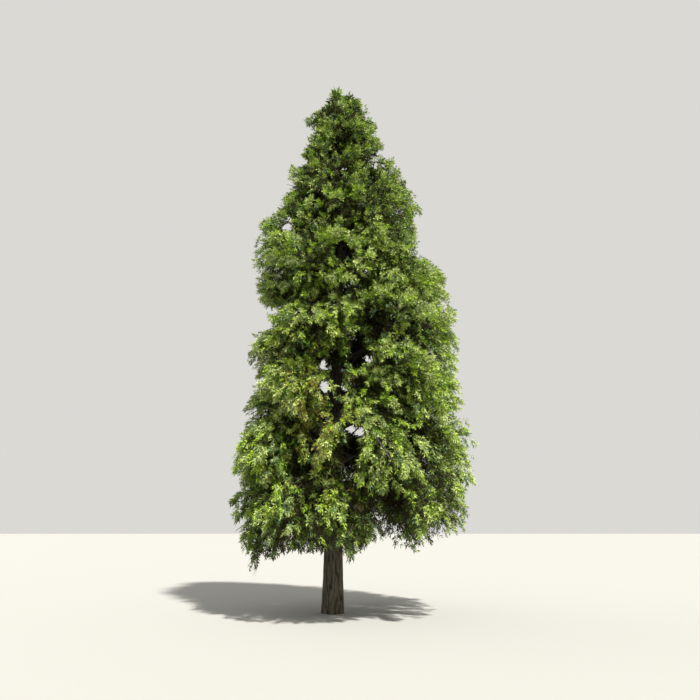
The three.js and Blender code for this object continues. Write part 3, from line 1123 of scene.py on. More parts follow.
@dataclass(frozen=True)
class Boughs:
    """The limbs: those that stand free of the foliage, and those that go on inside it."""

    trunk: Trunk
    masses: list[Mass]
    base: float = 0.007
    slender: float = 0.0155
    tip: float = 0.003
    taper_power: float = 0.8
    sides: int = 10
    rings: int = 30
    collar: float = 0.4
    collar_reach: float = 0.09
    knot: float = 0.16
    knot_round: float = 0.5
    knot_along: float = 2.2
    knot_starts: int = 53
    ridge: float = 0.12
    ridge_round: float = 1.6
    ridge_along: float = 7.0
    ridge_starts: int = 97
    ridge_pale: float = 0.9

    def radius_at(self, limb: Limb, along: Points) -> Points:
        """Finds a limb's radius at shares of it."""
        root = self.base + self.slender * limb.length()
        return self.tip + (root - self.tip) * (1 - along) ** self.taper_power

    def place(self, mass: Mass, points: Points) -> tuple[Points, Points]:
        """Moves the points of an upright cylinder of size 1 onto a limb.

        Args:
            mass: The mass that the limb belongs to.
            points: The cylinder's points.

        Returns:
            Their places on the limb, and the bark's relief there.
        """
        limb = mass.limb
        along = np.clip(points[:, 2], 0, 1)
        travelled = along * limb.length()
        centre = limb.at(along)
        level, over = across(limb.way(along))
        angles = np.arctan2(points[:, 0], -points[:, 1])
        ring = np.stack([np.sin(angles), np.cos(angles)], -1)
        ridged = [ring * self.ridge_round + mass.seed % self.ridge_starts, travelled * self.ridge_along]
        knotted = [ring * self.knot_round, travelled * self.knot_along + mass.seed % self.knot_starts]
        rough, knots = noise_at(np.column_stack(ridged)), noise_at(np.column_stack(knotted))
        gap = np.maximum(0.0, travelled - self.trunk.radius_at(centre[:, 2]))
        swell = 1 + self.collar * np.exp(-gap / self.collar_reach) + self.knot * knots
        radii = self.radius_at(limb, along) * swell * (1 + self.ridge * rough)
        around = over * np.cos(angles)[:, None] - level * np.sin(angles)[:, None]
        return centre + around * radii[:, None], np.clip(0.5 + self.ridge_pale * rough, 0, 1)

    def build(self, fibres: bpy.types.ShaderNodeTree) -> bpy.types.Object:
        """Models one limb, copies it for each mass, lays the copies along their curves and joins them.

        Args:
            fibres: The bark's shared fibre effect.

        Returns:
            The finished piece.
        """
        limbs = [ringed_cylinder("bough_bark", self.sides, self.rings)]
        for _ in self.masses[1:]:
            limb = limbs[0].copy()
            limb.data = limb.data.copy()
            bpy.context.scene.collection.objects.link(limb)
            limbs.append(limb)
        for limb, mass in zip(limbs, self.masses):
            reshape(limb, partial(self.place, mass))
        only(*limbs)
        bpy.ops.object.join()
        bpy.ops.object.shade_smooth()
        boughs = bpy.context.object
        boughs.name = boughs.data.name = "boughs_bark"
        boughs.data.materials.append(BOUGH_BARK.material(fibres))
        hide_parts(*(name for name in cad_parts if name.startswith("bough_")))
        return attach(boughs, "root")


# Foliage


@dataclass(frozen=True)
class SprayShape:
    """One spray of length 1 along +X: a rachis and narrow branchlets all round it, each of one face."""

    seed: int
    branchlets: int = 7
    first: float = 0.03
    span: float = 0.77
    longest: float = 0.56
    width: float = 0.17
    widest_at: float = 0.42
    rachis_width: float = 0.07
    open_angle: float = 58.0
    close_angle: float = 24.0
    spread: float = 75.0
    swell_least: float = 0.62
    swell: float = 0.5
    swell_from: float = 0.2
    swell_span: float = 0.62
    angle_factor: tuple[float, float] = (0.75, 0.5)
    length_factor: tuple[float, float] = (0.75, 0.45)
    width_factor: tuple[float, float] = (0.8, 0.4)

    def branchlet(self, root: Points, way: Points, side: Points, length: float, width: float) -> Points:
        """Gives the three points of one branchlet: its root, its wide part to one side, and its tip."""
        return np.array([root, root + way * length * self.widest_at + side * width, root + way * length])

    def points(self) -> Points:
        """Works out the branchlets.

        Returns:
            The points of all of them, three to each.
        """
        rng = np.random.default_rng(self.seed)
        x, y, z = np.eye(3)
        made = [self.branchlet(np.zeros(3), x, y, 1.0, self.rachis_width)]
        for i in range(self.branchlets):
            share = i / (self.branchlets - 1)
            angle = math.radians(self.open_angle + (self.close_angle - self.open_angle) * share)
            angle *= random_factor(self.angle_factor, rng)
            roll = math.radians(self.spread * (2 * rng.random() - 1)) + math.pi * (i % 2)
            side = y * math.cos(roll) + z * math.sin(roll)
            way = x * math.cos(angle) + side * math.sin(angle)
            turn = 2 * math.pi * rng.random()
            flat = unit(side * math.cos(angle) - x * math.sin(angle))
            wide = flat * math.cos(turn) + np.cross(way, flat) * math.sin(turn)
            swell = math.sin(math.pi * (self.swell_from + self.swell_span * share))
            length = self.longest * (self.swell_least + self.swell * swell)
            length *= random_factor(self.length_factor, rng)
            width = self.width * random_factor(self.width_factor, rng)
            made.append(self.branchlet(x * (self.first + self.span * share), way, wide, length, width))
        return np.concatenate(made)


SPRAY_SHAPES = np.array([SprayShape(seed).points() for seed in (3, 11, 19, 27, 35, 43)])


@dataclass(frozen=True)
class Plume:
    """One plume: where its twig leaves the stem, and its leafy part, whose tip hangs."""

    root: Points
    start: Points
    direction: Points
    length: float
    hang: float
    roll: float = 0.0
    upright: bool = False

    def blade(self, share: Points) -> Points:
        """Finds points on the leafy part, which hangs more towards its tip."""
        level = self.start + self.direction * (share * self.length)[:, None]
        return level - UP * (self.hang * self.length * share**2)[:, None]


@dataclass(frozen=True)
class Twigs:
    """The side twigs of one plume, an entry of each array to a twig."""

    roots: Points
    ways: Points
    lengths: Points
    shares: Points

    def paths(self) -> Points:
        """Gives the two ends of each twig."""
        return self.roots[:, None] + self.ways[:, None] * (self.lengths[:, None] * np.arange(2.0))[..., None]


@dataclass(frozen=True)
class Sprays:
    """The sprays of one plume, an entry of each array to a spray, with so many to each side twig."""

    roots: Points
    ways: Points
    facings: Points
    sizes: Points
    places: Points
    tones: Points
    hues: Points
    to_each_twig: int

    def at(self, along: float) -> Points:
        """Gives the points that lie at a share of the sprays' lengths."""
        return self.roots + self.ways * (along * self.sizes)[:, None]


@dataclass
class Harvest:
    """What some masses have grown, as named rows of arrays to be joined."""

    rows: dict[str, list[Points]] = field(default_factory=dict)

    def add(self, **arrays: Points) -> None:
        """Adds an array to each row that is named."""
        for name, array in arrays.items():
            self.rows.setdefault(name, []).append(array)

    def joined(self, name: str) -> Points:
        """Joins a row into one array."""
        return np.concatenate(self.rows[name])


@dataclass(frozen=True)
class TwigRule:
    """How side twigs stand round a plume's axis: how close, how far open and how long."""

    least: int = 5
    step: float = 0.088
    jitter: float = 0.4
    reach: tuple[tuple[float, float], ...] = (
        (0.0, 0.2), (0.2, 0.36), (0.55, 0.33), (0.8, 0.24), (1.0, 0.14)
    )
    open_angle: float = 62.0
    close_by: float = 34.0
    uneven: float = 12.0
    droop: float = 0.36
    sag: float = 0.03
    long_factor: tuple[float, float] = (0.75, 0.45)
    flatness: float = 0.6

    def on(self, plume: Plume, droop: float, rng: np.random.Generator) -> Twigs:
        """Sets side twigs round a plume's axis, in a flattened spiral.

        Args:
            plume: The plume.
            droop: How far the mass's twigs hang.
            rng: The mass's own generator.

        Returns:
            The side twigs.
        """
        direction = plume.direction
        count = max(self.least, round(plume.length / self.step))
        jitter = (1 - self.jitter) / 2 + self.jitter * rng.random(count)
        share = (np.arange(count) + jitter) / count
        level, over = across(direction)
        side = level * math.cos(plume.roll) + over * math.sin(plume.roll)
        normal = np.cross(side, direction)
        turns = np.arange(count) * SPIRAL + ANY_TURN * rng.random()
        around = side * np.cos(turns)[:, None] + normal * (self.flatness * np.sin(turns))[:, None]
        angles = self.open_angle - self.close_by * share + self.uneven * (rng.random(count) - 0.5)
        angles = np.radians(angles)[:, None]
        ways = direction * np.cos(angles) + around * np.sin(angles)
        ways = ways - UP * (self.droop * droop + self.sag)
        rows = np.array(self.reach)
        lengths = plume.length * np.interp(share, rows[:, 0], rows[:, 1])
        lengths = lengths * random_factor(self.long_factor, rng, count)
        return Twigs(plume.blade(share), unit(ways), lengths, share)


@dataclass(frozen=True)
class SprayRule:
    """How sprays stand in a spiral round a side twig: where, how far open, how long and how pale, with
    painted light on the upper sides of plumes and towards twig tips and painted shade beneath and towards
    twig bases.
    """

    crown: Crown
    count: int = 9
    bare_share: float = 0.22
    along_uneven: float = 0.05
    tip_shoot: float = 0.16
    tip_shoot_long: float = 1.3
    bow: float = -0.12
    bow_uneven: float = 0.16
    turn: float = 2.4
    open_angle: float = 42.0
    open_less: float = 0.85
    open_uneven: float = 9.0
    droop: float = 0.16
    aim_uneven: float = 0.1
    facing_uneven: float = 0.6
    least: float = 0.09
    most: float = 0.135
    size_first: float = 1.1
    size_less: float = 0.25
    inner_size: float = 2.0
    inner_rim: float = 0.72
    inner_wide: float = 0.3
    inner_high: float = 0.9
    twig_tone: float = 0.12
    # Painted shade within each tuft: sprays near a twig's base darker, near its tip paler.
    painted_twig_shade: float = 0.16
    # Painted light and shade: sprays on a plume's upper side paler, those beneath darker.
    painted_top_light: float = 0.24
    painted_top_from: float = 0.1
    twig_hue: float = 0.85
    spray_hue: float = 0.5

    def sizes_at(self, base: Points, rank: Points, rng: np.random.Generator) -> Points:
        """Chooses the sprays' sizes, which are larger deep inside the crown, where fewer are seen.

        Args:
            base: Where each spray starts.
            rank: Its place along its twig, from 0 to 1.
            rng: The mass's own generator.

        Returns:
            The sizes.
        """
        sizes = self.least + (self.most - self.least) * rng.random(rank.shape)
        sizes = sizes * (self.size_first - self.size_less * rank)
        inner = np.clip((self.inner_rim - self.crown.rim(base)) / self.inner_wide, 0, 1)
        depth = inner * np.clip(self.crown.over_skirt(base) / self.inner_high, 0, 1)
        return sizes * (1 + (self.inner_size - 1) * depth)

    def on(
        self, twigs: Twigs, tip: Points, tip_way: Points, droop: float, rng: np.random.Generator
    ) -> Sprays:
        """Sets sprays round each side twig and round the plume's tip, ever closer to its direction.

        Args:
            twigs: The side twigs.
            tip: The plume's tip.
            tip_way: The plume's direction there.
            droop: How far the mass's twigs hang.
            rng: The mass's own generator.

        Returns:
            The sprays.
        """
        roots = np.concatenate([twigs.roots, (tip - tip_way * self.tip_shoot)[None]])
        ways = np.concatenate([twigs.ways, tip_way[None]])[:, None]
        lengths = np.append(twigs.lengths, self.tip_shoot_long * self.tip_shoot)
        count = (len(roots), self.count)
        index = np.broadcast_to(np.arange(self.count), count)
        rank = index / (self.count - 1)
        along = self.bare_share + (1 - self.bare_share) * rank + self.along_uneven * rng.random(count)
        along = along * lengths[:, None]
        bow = (rng.normal(self.bow, self.bow_uneven, len(roots)) * lengths)[:, None] * rank**2
        base = roots[:, None] + ways * along[..., None] + UP * bow[..., None]
        level, over = across(np.broadcast_to(ways, base.shape))
        turns = self.turn * index + ANY_TURN * rng.random((len(roots), 1))
        around = level * np.cos(turns)[..., None] + over * np.sin(turns)[..., None]
        opened = self.open_angle * (1 - self.open_less * rank) + rng.normal(0, self.open_uneven, count)
        opened = np.radians(opened)[..., None]
        aim = ways * np.cos(opened) + around * np.sin(opened)
        aim = unit(aim - UP * (self.droop * droop) + rng.normal(0, self.aim_uneven, base.shape))
        facing = around + rng.normal(0, self.facing_uneven, base.shape)
        sizes = self.sizes_at(base, rank, rng)
        # Each twig's tone at random, with painted shade: darker towards the twig's base, paler towards its
        # tip.
        tones = rng.normal(0, self.twig_tone, len(roots))[:, None] + self.painted_twig_shade * (rank - 0.5)
        # Painted light and shade: twigs that rise more than the plume's tip and sprays on the upper side of
        # their twig are paler, those turned down darker.
        tones = tones + self.painted_top_light * (ways[..., 2] - tip_way[2] - self.painted_top_from)
        tones = tones + 0.5 * self.painted_top_light * around[..., 2]
        hues = rng.normal(0, self.twig_hue, len(roots))[:, None] + rng.normal(0, self.spray_hue, count)
        places = np.broadcast_to(np.append(twigs.shares, 1.0)[:, None], count)
        vectors = (array.reshape(-1, 3) for array in (base, aim, facing))
        numbers = (array.ravel() for array in (sizes, places, tones, hues))
        return Sprays(*vectors, *numbers, to_each_twig=self.count)


@dataclass(frozen=True)
class Colouring:
    """How tints are dealt out: pale at the rim and the plumes' tips, dark and brown inside; partly the
    foliage's own age, partly painted light outside and painted shade inside and low down.
    """

    crown: Crown
    plain: tuple[Tint, ...] = (Tint.INNER, Tint.SHADE, Tint.DEEP, Tint.MID, Tint.BRIGHT, Tint.TIP)
    steps: tuple[float, ...] = (0.22, 0.4, 0.58, 0.76, 0.92)
    deep_reach: float = 1.4
    rim_age_and_light: float = 0.6
    rim_power: float = 2.8
    tip_age_and_light: float = 0.34
    uneven: float = 0.14
    paler: float = 0.05
    high_from: float = 7.8
    darker_above: float = 0.027
    # Painted shade low in the crown: from which height down, and how strongly.
    shade_below_from: float = 3.2
    painted_shade_below: float = 0.16
    full: float = 0.4
    pale: float = 0.66
    vivid_hue: float = -0.5
    grey_hue: float = 1.15
    # Painted shade cast: left of this x, sprays are more often greyed and bluish.
    shade_cast_left_of: float = -0.6
    painted_shade_cast: float = 0.4
    patch_middle: tuple[float, float] = (-0.45, 4.0)
    patch_half: tuple[float, float] = (0.75, 1.3)
    patch_front: float = -0.1
    patch_share: float = 0.5

    def slots(self, sprays: Sprays, tone: float, rng: np.random.Generator) -> Points:
        """Deals out the sprays' colours.

        Args:
            sprays: The sprays.
            tone: How pale their plume is as a whole.
            rng: The mass's own generator.

        Returns:
            The number of each spray's material.
        """
        points = sprays.at(0.5)
        heights = points[:, 2]
        narrow = np.minimum(self.crown.reach(heights, np.zeros(len(heights))) / self.deep_reach, 1)
        rim = 1 - (1 - np.clip(self.crown.rim(points), 0, 1)) * narrow
        # Paler towards the crown's rim and the plumes' tips: partly younger growth, partly painted light;
        # darker inside: partly older growth, partly painted shade.
        value = self.rim_age_and_light * rim**self.rim_power + self.tip_age_and_light * sprays.places + sprays.tones + tone
        value = value + rng.normal(0, self.uneven, len(rim))
        value += self.paler - self.darker_above * np.maximum(heights - self.high_from, 0)
        # Painted shade: sprays low in the crown, beneath the masses above, are darker.
        value -= self.painted_shade_below * np.maximum(self.shade_below_from - heights, 0)
        pale, full = value > self.pale, value > self.full
        tints = np.array([tint.slot for tint in self.plain])[np.digitize(value, self.steps)]
        vivid = sprays.hues < self.vivid_hue
        # Painted shade: the crown's left side, which stands away from the light, gets more greyed and bluish
        # sprays, a cast of shade.
        greyed = sprays.hues + self.painted_shade_cast * (points[:, 0] < self.shade_cast_left_of) > self.grey_hue
        tints = np.where(vivid & full, np.where(pale, Tint.LIME.slot, Tint.FERN.slot), tints)
        tints = np.where(greyed & full, np.where(pale, Tint.SAGE.slot, Tint.BLUISH.slot), tints)
        away = ((self.crown.sighted(points) - self.patch_middle) / self.patch_half) ** 2
        patch = np.exp(-away[:, 0] - away[:, 1])
        olive = (points[:, 1] < self.patch_front) & (rng.random(len(rim)) < self.patch_share * patch) & full
        return np.where(olive, Tint.OLIVE.slot, tints)


@dataclass(frozen=True)
class EdgeRule:
    """What stays of a plume: what lies in its mass's space and in the crown's outline, clear of openings."""

    trunk: Trunk
    crown: Crown
    wall_slack: float = 0.06
    crease: float = 0.16
    crease_wide: float = 0.2
    crease_side: float = 0.15
    trunk_clear: float = 0.03
    rim_more: float = 0.02
    rim_uneven: float = 0.03
    edge_least: float = -0.08
    edge_most: float = 0.08
    edge_uneven: float = 0.05
    edge_wide: float = 0.32
    edge_open: float = 0.6
    skirt_uneven: float = 0.1
    ragged: float = 0.65
    ragged_high: float = 0.5
    ragged_most: float = 1.1
    wispy: float = 0.85
    wispy_from: float = 12.1
    wispy_high: float = 0.3
    gap_uneven: float = 0.03
    tested_at: float = 0.85
    framed_at: float = 0.95
    gaps_at: tuple[float, ...] = (0.0, 0.5, 0.9)

    def rim_limit(self, mass: Mass, points: Points) -> Points:
        """Says how near to the crown's edge foliage may come: less beside the next masses.

        Args:
            mass: The mass that grows.
            points: Where to find it.

        Returns:
            The limit for each point, where 1 is the edge itself.
        """
        near_wall = np.exp(-((mass.space.wall_room(points) / self.crease_wide) ** 2))
        sideways = self.crease_side + (1 - self.crease_side) * self.crown.front(points)
        return 1.0 - self.crease * near_wall * sideways

    def clear_of_trunk(self, points: Points) -> Points:
        """Says which points stand clear of the trunk."""
        offsets = points - self.trunk.axis(points[:, 2])
        return np.hypot(offsets[:, 0], offsets[:, 1]) > self.trunk.radius_at(points[:, 2]) + self.trunk_clear

    def sprays(self, mass: Mass, sprays: Sprays, upright: bool, rng: np.random.Generator) -> Points:
        """Says which sprays stay: those in the mass's space, the crown's outline and outside its openings.

        Args:
            mass: The mass that grows.
            sprays: The sprays of one plume.
            upright: Whether it is one of the shoots at the top, which are whole but for the openings.
            rng: The mass's own generator.

        Returns:
            Whether each spray stays.
        """
        tips = sprays.at(self.tested_at)
        count = len(tips)
        slack = self.wall_slack * rng.random(count)
        limits = self.rim_limit(mass, tips) + self.rim_more * (1 - self.crown.front(tips))
        limits = limits + self.rim_uneven * rng.random(count)
        inside = mass.space.holds(tips, slack) & (self.crown.rim(tips) <= limits)
        edge = self.edge_least + (self.edge_most - self.edge_least) * rng.random()
        depth = self.crown.framed(sprays.at(self.framed_at))
        sparse = self.edge_open * np.clip(1 - depth / self.edge_wide, 0, 1)
        chances = np.repeat(rng.random(count // sprays.to_each_twig), sprays.to_each_twig)
        inside &= (depth > -edge - self.edge_uneven * rng.random(count)) & (chances > sparse)
        over_skirt = self.crown.over_skirt(tips) - self.skirt_uneven * rng.random()
        low = np.clip(self.ragged_most - over_skirt / self.ragged_high, 0, 1)
        high = np.clip((tips[:, 2] - self.wispy_from) / self.wispy_high, 0, 1)
        kept = rng.random(count) > self.ragged * low + self.wispy * high
        stays = (upright | inside & (over_skirt > 0) & kept) & self.clear_of_trunk(sprays.at(0.5))
        for place in self.gaps_at:
            slack = self.gap_uneven * (rng.random(count) - 0.5)
            stays &= ~self.crown.seen_through(sprays.at(place), slack)
        return stays

    def twigs(self, mass: Mass, paths: Points) -> Points:
        """Chooses the side twigs that end inside the mass, the outline and the skirt and bar no opening.

        Args:
            mass: The mass that grows.
            paths: The two ends of each side twig.

        Returns:
            The paths that stay.
        """
        ends = paths[:, -1]
        fine = mass.space.holds(ends, self.wall_slack) & (self.crown.over_skirt(ends) > 0)
        fine &= self.crown.framed(ends) > 0
        for place in (paths.mean(1), ends):
            fine &= ~self.crown.seen_through(place, np.zeros(len(ends)))
        return paths[fine]


@dataclass(frozen=True)
class Growth:
    """The rule by which a mass grows: places in its space, plumes there, side twigs, and sprays on them."""

    trunk: Trunk
    crown: Crown
    twig_rule: TwigRule
    spray_rule: SprayRule
    edge_rule: EdgeRule
    colouring: Colouring
    attempts: int = 3
    places: int = 14
    outer: float = 0.8
    stem_end: float = 0.94
    stem_far: float = 0.9
    stem_last: float = 0.88
    stem_look: float = 0.04
    stem_step: float = 0.02
    twig_back: float = 0.14
    twig_uneven: float = 0.1
    twig_bow: float = 0.08
    outward: float = 0.35
    roll_share: float = 0.8
    shifts: tuple[float, ...] = (0.45, 0.7, 0.95)
    marks: tuple[tuple[float, float], ...] = ((0.15, 0.08), (0.45, 0.15), (0.8, 0.12), (1.0, 0.0))
    mark_slack: float = 0.03
    longest: float = 1.1
    shortest: float = 0.3
    shrink: float = 0.9
    hang: float = 0.08
    hang_more: float = 0.42
    rim_least: float = 0.8
    rim_most: float = 1.04
    rim_less: float = 0.03
    rim_side: float = 0.4
    fringe: float = 0.42
    fringe_from: float = 0.3
    fringe_open: float = 0.5
    trace_steps: int = 25
    axis_through: float = -0.04
    hollow_share: float = 0.3
    plume_tone: float = 0.07
    patchy: float = 0.18
    patchy_scale: float = 0.8
    axis_radii: tuple[float, ...] = (0.011, 0.009, 0.007, 0.004, 0.0)
    twig_radii: tuple[float, float] = (0.0045, 0.0)
    shoots: tuple[Place, ...] = (
        (-0.03, 0.0, 12.64), (0.31, -0.06, 12.4), (0.57, 0.05, 12.28), (-0.2, -0.1, 12.1),
        (-0.8, -0.05, 11.74),
    )
    shoot_root: float = 0.75
    shoot_back: float = 0.48
    shoot_length: float = 0.3
    shoot_rise: float = 0.5
    spur_mass: str = "2_1"
    spur: tuple[Place, ...] = (
        (0.0, -0.05, 3.0), (0.14, -0.3, 3.2), (0.3, -0.5, 3.41), (0.5, -0.5, 3.61), (0.74, -0.5, 3.86)
    )
    spur_radii: tuple[float, ...] = (0.024, 0.021, 0.018, 0.014, 0.006)

    def hang_of(self, mass: Mass) -> float:
        """Gives how far a plume's tip hangs, as a share of its length."""
        return self.hang + self.hang_more * max(0.0, mass.droop)

    def next_place(self, mass: Mass, taken: Points, row: Numbers) -> Points | None:
        """Finds a place for the next plume: of some, the one that is far from the others and well out.

        Args:
            mass: The mass that grows.
            taken: The places so far.
            row: The mass's seeded numbers.

        Returns:
            The place, or nothing where none of those looked at lies in the space.
        """
        space = mass.space
        drawn = 2 * row.take(3 * self.places).reshape(-1, 3) - 1
        found = space.middle + (drawn * space.half) @ space.axes
        found = found[space.holds(found) & (self.crown.rim(found) <= 1)]
        if not len(found):
            return None
        outward = (found - space.middle) @ space.axes[0] / space.half[0]
        nearest = np.linalg.norm(found[:, None] - taken[None], axis=-1).min(1)
        return found[np.argmax(nearest * (1 + self.outer * outward))]

    def twig_root(self, mass: Mass, place: Points, row: Numbers) -> Points:
        """Finds where the twig to a place leaves the stem.

        Args:
            mass: The mass that grows.
            place: The place.
            row: The mass's seeded numbers.

        Returns:
            A point on the stem, a little before the one that is nearest to the place.
        """
        shares = np.arange(mass.stem_from, self.stem_far, self.stem_look)
        nearest = shares[np.argmin(np.linalg.norm(mass.limb.at(shares) - place, axis=-1))]
        first = max(mass.stem_from + self.stem_step, nearest - self.twig_back)
        along = first + self.twig_uneven * row.one()
        while along < self.stem_far and not mass.space.holds(mass.limb.at(along)):
            along += self.stem_step
        return mass.limb.at(min(along, self.stem_last))

    def largest_plume(self, mass: Mass, place: Points, roll: float, row: Numbers) -> Plume | None:
        """Finds the largest plume at a place that stays in the space.

        Args:
            mass: The mass that grows.
            place: Where the plume lies.
            roll: How far it is turned about its direction.
            row: The mass's seeded numbers.

        Returns:
            The plume, or nothing where none fits.
        """
        root = self.twig_root(mass, place, row)
        direction = unit(unit(place - root) + self.outward * mass.space.axes[0] - mass.droop * UP)
        uneven = (1 - self.rim_least) * (1 - math.sqrt(row.one()))
        sideways = self.rim_side + (1 - self.rim_side) * float(self.crown.front(place))
        rim = self.rim_most - (uneven + self.rim_less) * sideways
        level, over = across(direction)
        marks = np.array(self.marks)
        turns = np.array([0.0, 0.5, 1.0, 1.5]) * math.pi
        around = level * np.cos(turns)[:, None] + over * np.sin(turns)[:, None]
        size = self.longest
        while size > self.shortest:
            for shift in self.shifts:
                start = place - direction * shift * size
                plume = Plume(root, start, direction, size, self.hang_of(mass), roll)
                along = plume.blade(marks[:, 0])
                tested = along[:, None] + around[None] * (marks[:, 1] * size)[:, None, None]
                fits = mass.space.holds(tested, self.mark_slack).all()
                fits = fits and (self.crown.rim(tested) <= rim * self.edge_rule.rim_limit(mass, tested)).all()
                seen = np.minimum(self.crown.over_skirt(along), self.crown.framed(along))
                if fits and (seen > 0).all():
                    return plume
            size *= self.shrink
        return None

    def grow(self, mass: Mass, into: Harvest) -> int:
        """Grows one mass.

        Args:
            mass: The mass.
            into: Where its sprays and twigs go.

        Returns:
            How many sprays it has.
        """
        row = Numbers(mass.seed)
        rng = np.random.default_rng(mass.seed)
        taken = mass.limb.at((1 + self.stem_end) / 2)[None]
        grown = plumes = 0
        for _ in range(self.attempts * mass.plumes):
            if plumes == mass.plumes:
                break
            place = self.next_place(mass, taken, row)
            roll = math.pi * (row.one() - 0.5) * self.roll_share
            if place is None:
                continue
            plume = self.largest_plume(mass, place, roll, row)
            if plume is None or (self.crown.hollow(place) and rng.random() < self.hollow_share):
                continue
            taken = np.concatenate([taken, place[None]])
            plumes += 1
            grown += self.grow_plume(mass, plume, rng, into)
        if mass.name == "top":
            grown += self.grow_shoots(mass, into)
        if mass.name == self.spur_mass:
            into.add(axes=np.array([self.spur]), axis_radii=np.array([self.spur_radii]))
        return grown

    def grow_shoots(self, mass: Mass, into: Harvest) -> int:
        """Grows the small upright shoots at the top of the tree.

        Args:
            mass: The mass round the leader.
            into: Where their sprays and twigs go.

        Returns:
            How many sprays they have.
        """
        rng = np.random.default_rng(mass.seed + 1)
        grown = 0
        for tip in np.array(self.shoots):
            root = self.trunk.axis(tip[2] - self.shoot_root)
            direction = unit(tip - root + UP * self.shoot_rise)
            start = tip - direction * self.shoot_back
            shoot = Plume(root, start, direction, self.shoot_length, self.hang_of(mass), upright=True)
            grown += self.grow_plume(mass, shoot, rng, into)
        return grown

    def grow_plume(self, mass: Mass, plume: Plume, rng: np.random.Generator, into: Harvest) -> int:
        """Grows one plume: its twig, its axis, its side twigs and its sprays.

        Args:
            mass: The mass it belongs to.
            plume: The plume.
            rng: The mass's own generator.
            into: Where its sprays and twigs go.

        Returns:
            How many sprays it has.
        """
        blade = plume.blade(np.array([0.0, 0.5, 1.0]))
        rise = UP * self.twig_bow * np.linalg.norm(plume.start - plume.root)
        axis = np.concatenate([[plume.root, (plume.root + plume.start) / 2 + rise], blade])
        steps = np.linspace(0, len(axis) - 1, self.trace_steps)
        traced = np.stack([np.interp(steps, np.arange(len(axis)), axis[:, i]) for i in range(3)], -1)
        if self.crown.seen_through(traced, np.full(len(traced), self.axis_through), True).any():
            return 0
        low = float(self.crown.over_skirt(blade[-1])) < self.fringe
        if low and self.crown.sighted(plume.start)[0] > self.fringe_from and rng.random() < self.fringe_open:
            return 0
        twigs = self.twig_rule.on(plume, mass.droop, rng)
        sprays = self.spray_rule.on(twigs, blade[-1], unit(blade[-1] - blade[-2]), mass.droop, rng)
        stays = self.edge_rule.sprays(mass, sprays, plume.upright, rng)
        tone = rng.normal(0, self.plume_tone)
        tone = tone + self.patchy * noise.noise(Vector(plume.start * self.patchy_scale))
        into.add(
            roots=sprays.roots[stays],
            ways=sprays.ways[stays],
            facings=sprays.facings[stays],
            sizes=sprays.sizes[stays],
            tints=self.colouring.slots(sprays, tone, rng)[stays],
        )
        bare = self.edge_rule.twigs(mass, twigs.paths())
        into.add(axes=axis[None], axis_radii=np.array([self.axis_radii]))
        into.add(twigs=bare, twig_radii=np.broadcast_to(self.twig_radii, (len(bare), 2)))
        return int(stays.sum())


@dataclass(frozen=True)
class LeafyPiece:
    """One joined piece of sprays, which stands for some of the frame's masses."""

    name: str
    curl: float = 0.1

    def build(
        self, harvest: Harvest, nodes: list[str], materials: list[bpy.types.Material], seed: int
    ) -> bpy.types.Object:
        """Lays a copy of a spray's shape at each place and joins them.

        Args:
            harvest: The sprays to lay.
            nodes: The frame's nodes that the piece stands for.
            materials: The tints' materials, in the order of Tint.
            seed: Seed for the choice of shapes.

        Returns:
            The finished piece.
        """
        roots, ways, sizes = (harvest.joined(name) for name in ("roots", "ways", "sizes"))
        beside = unit(np.cross(harvest.joined("facings"), ways))
        above = np.cross(ways, beside)
        shapes = SPRAY_SHAPES[np.random.default_rng(seed).integers(0, len(SPRAY_SHAPES), len(roots))]
        bend = -self.curl * shapes[..., 0] ** 2
        points = (
            roots[:, None]
            + sizes[:, None, None] * (
                shapes[..., :1] * ways[:, None]
                + shapes[..., 1:2] * beside[:, None]
                + shapes[..., 2:] * above[:, None]
                + bend[..., None] * UP
            )
        )
        triangles = np.arange(points.shape[0] * points.shape[1]).reshape(-1, 3)
        slots = np.repeat(harvest.joined("tints"), points.shape[1] // 3)
        piece = joined_mesh(self.name, points.reshape(-1, 3), triangles, materials, slots)
        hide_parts(*nodes)
        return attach(piece, "root")


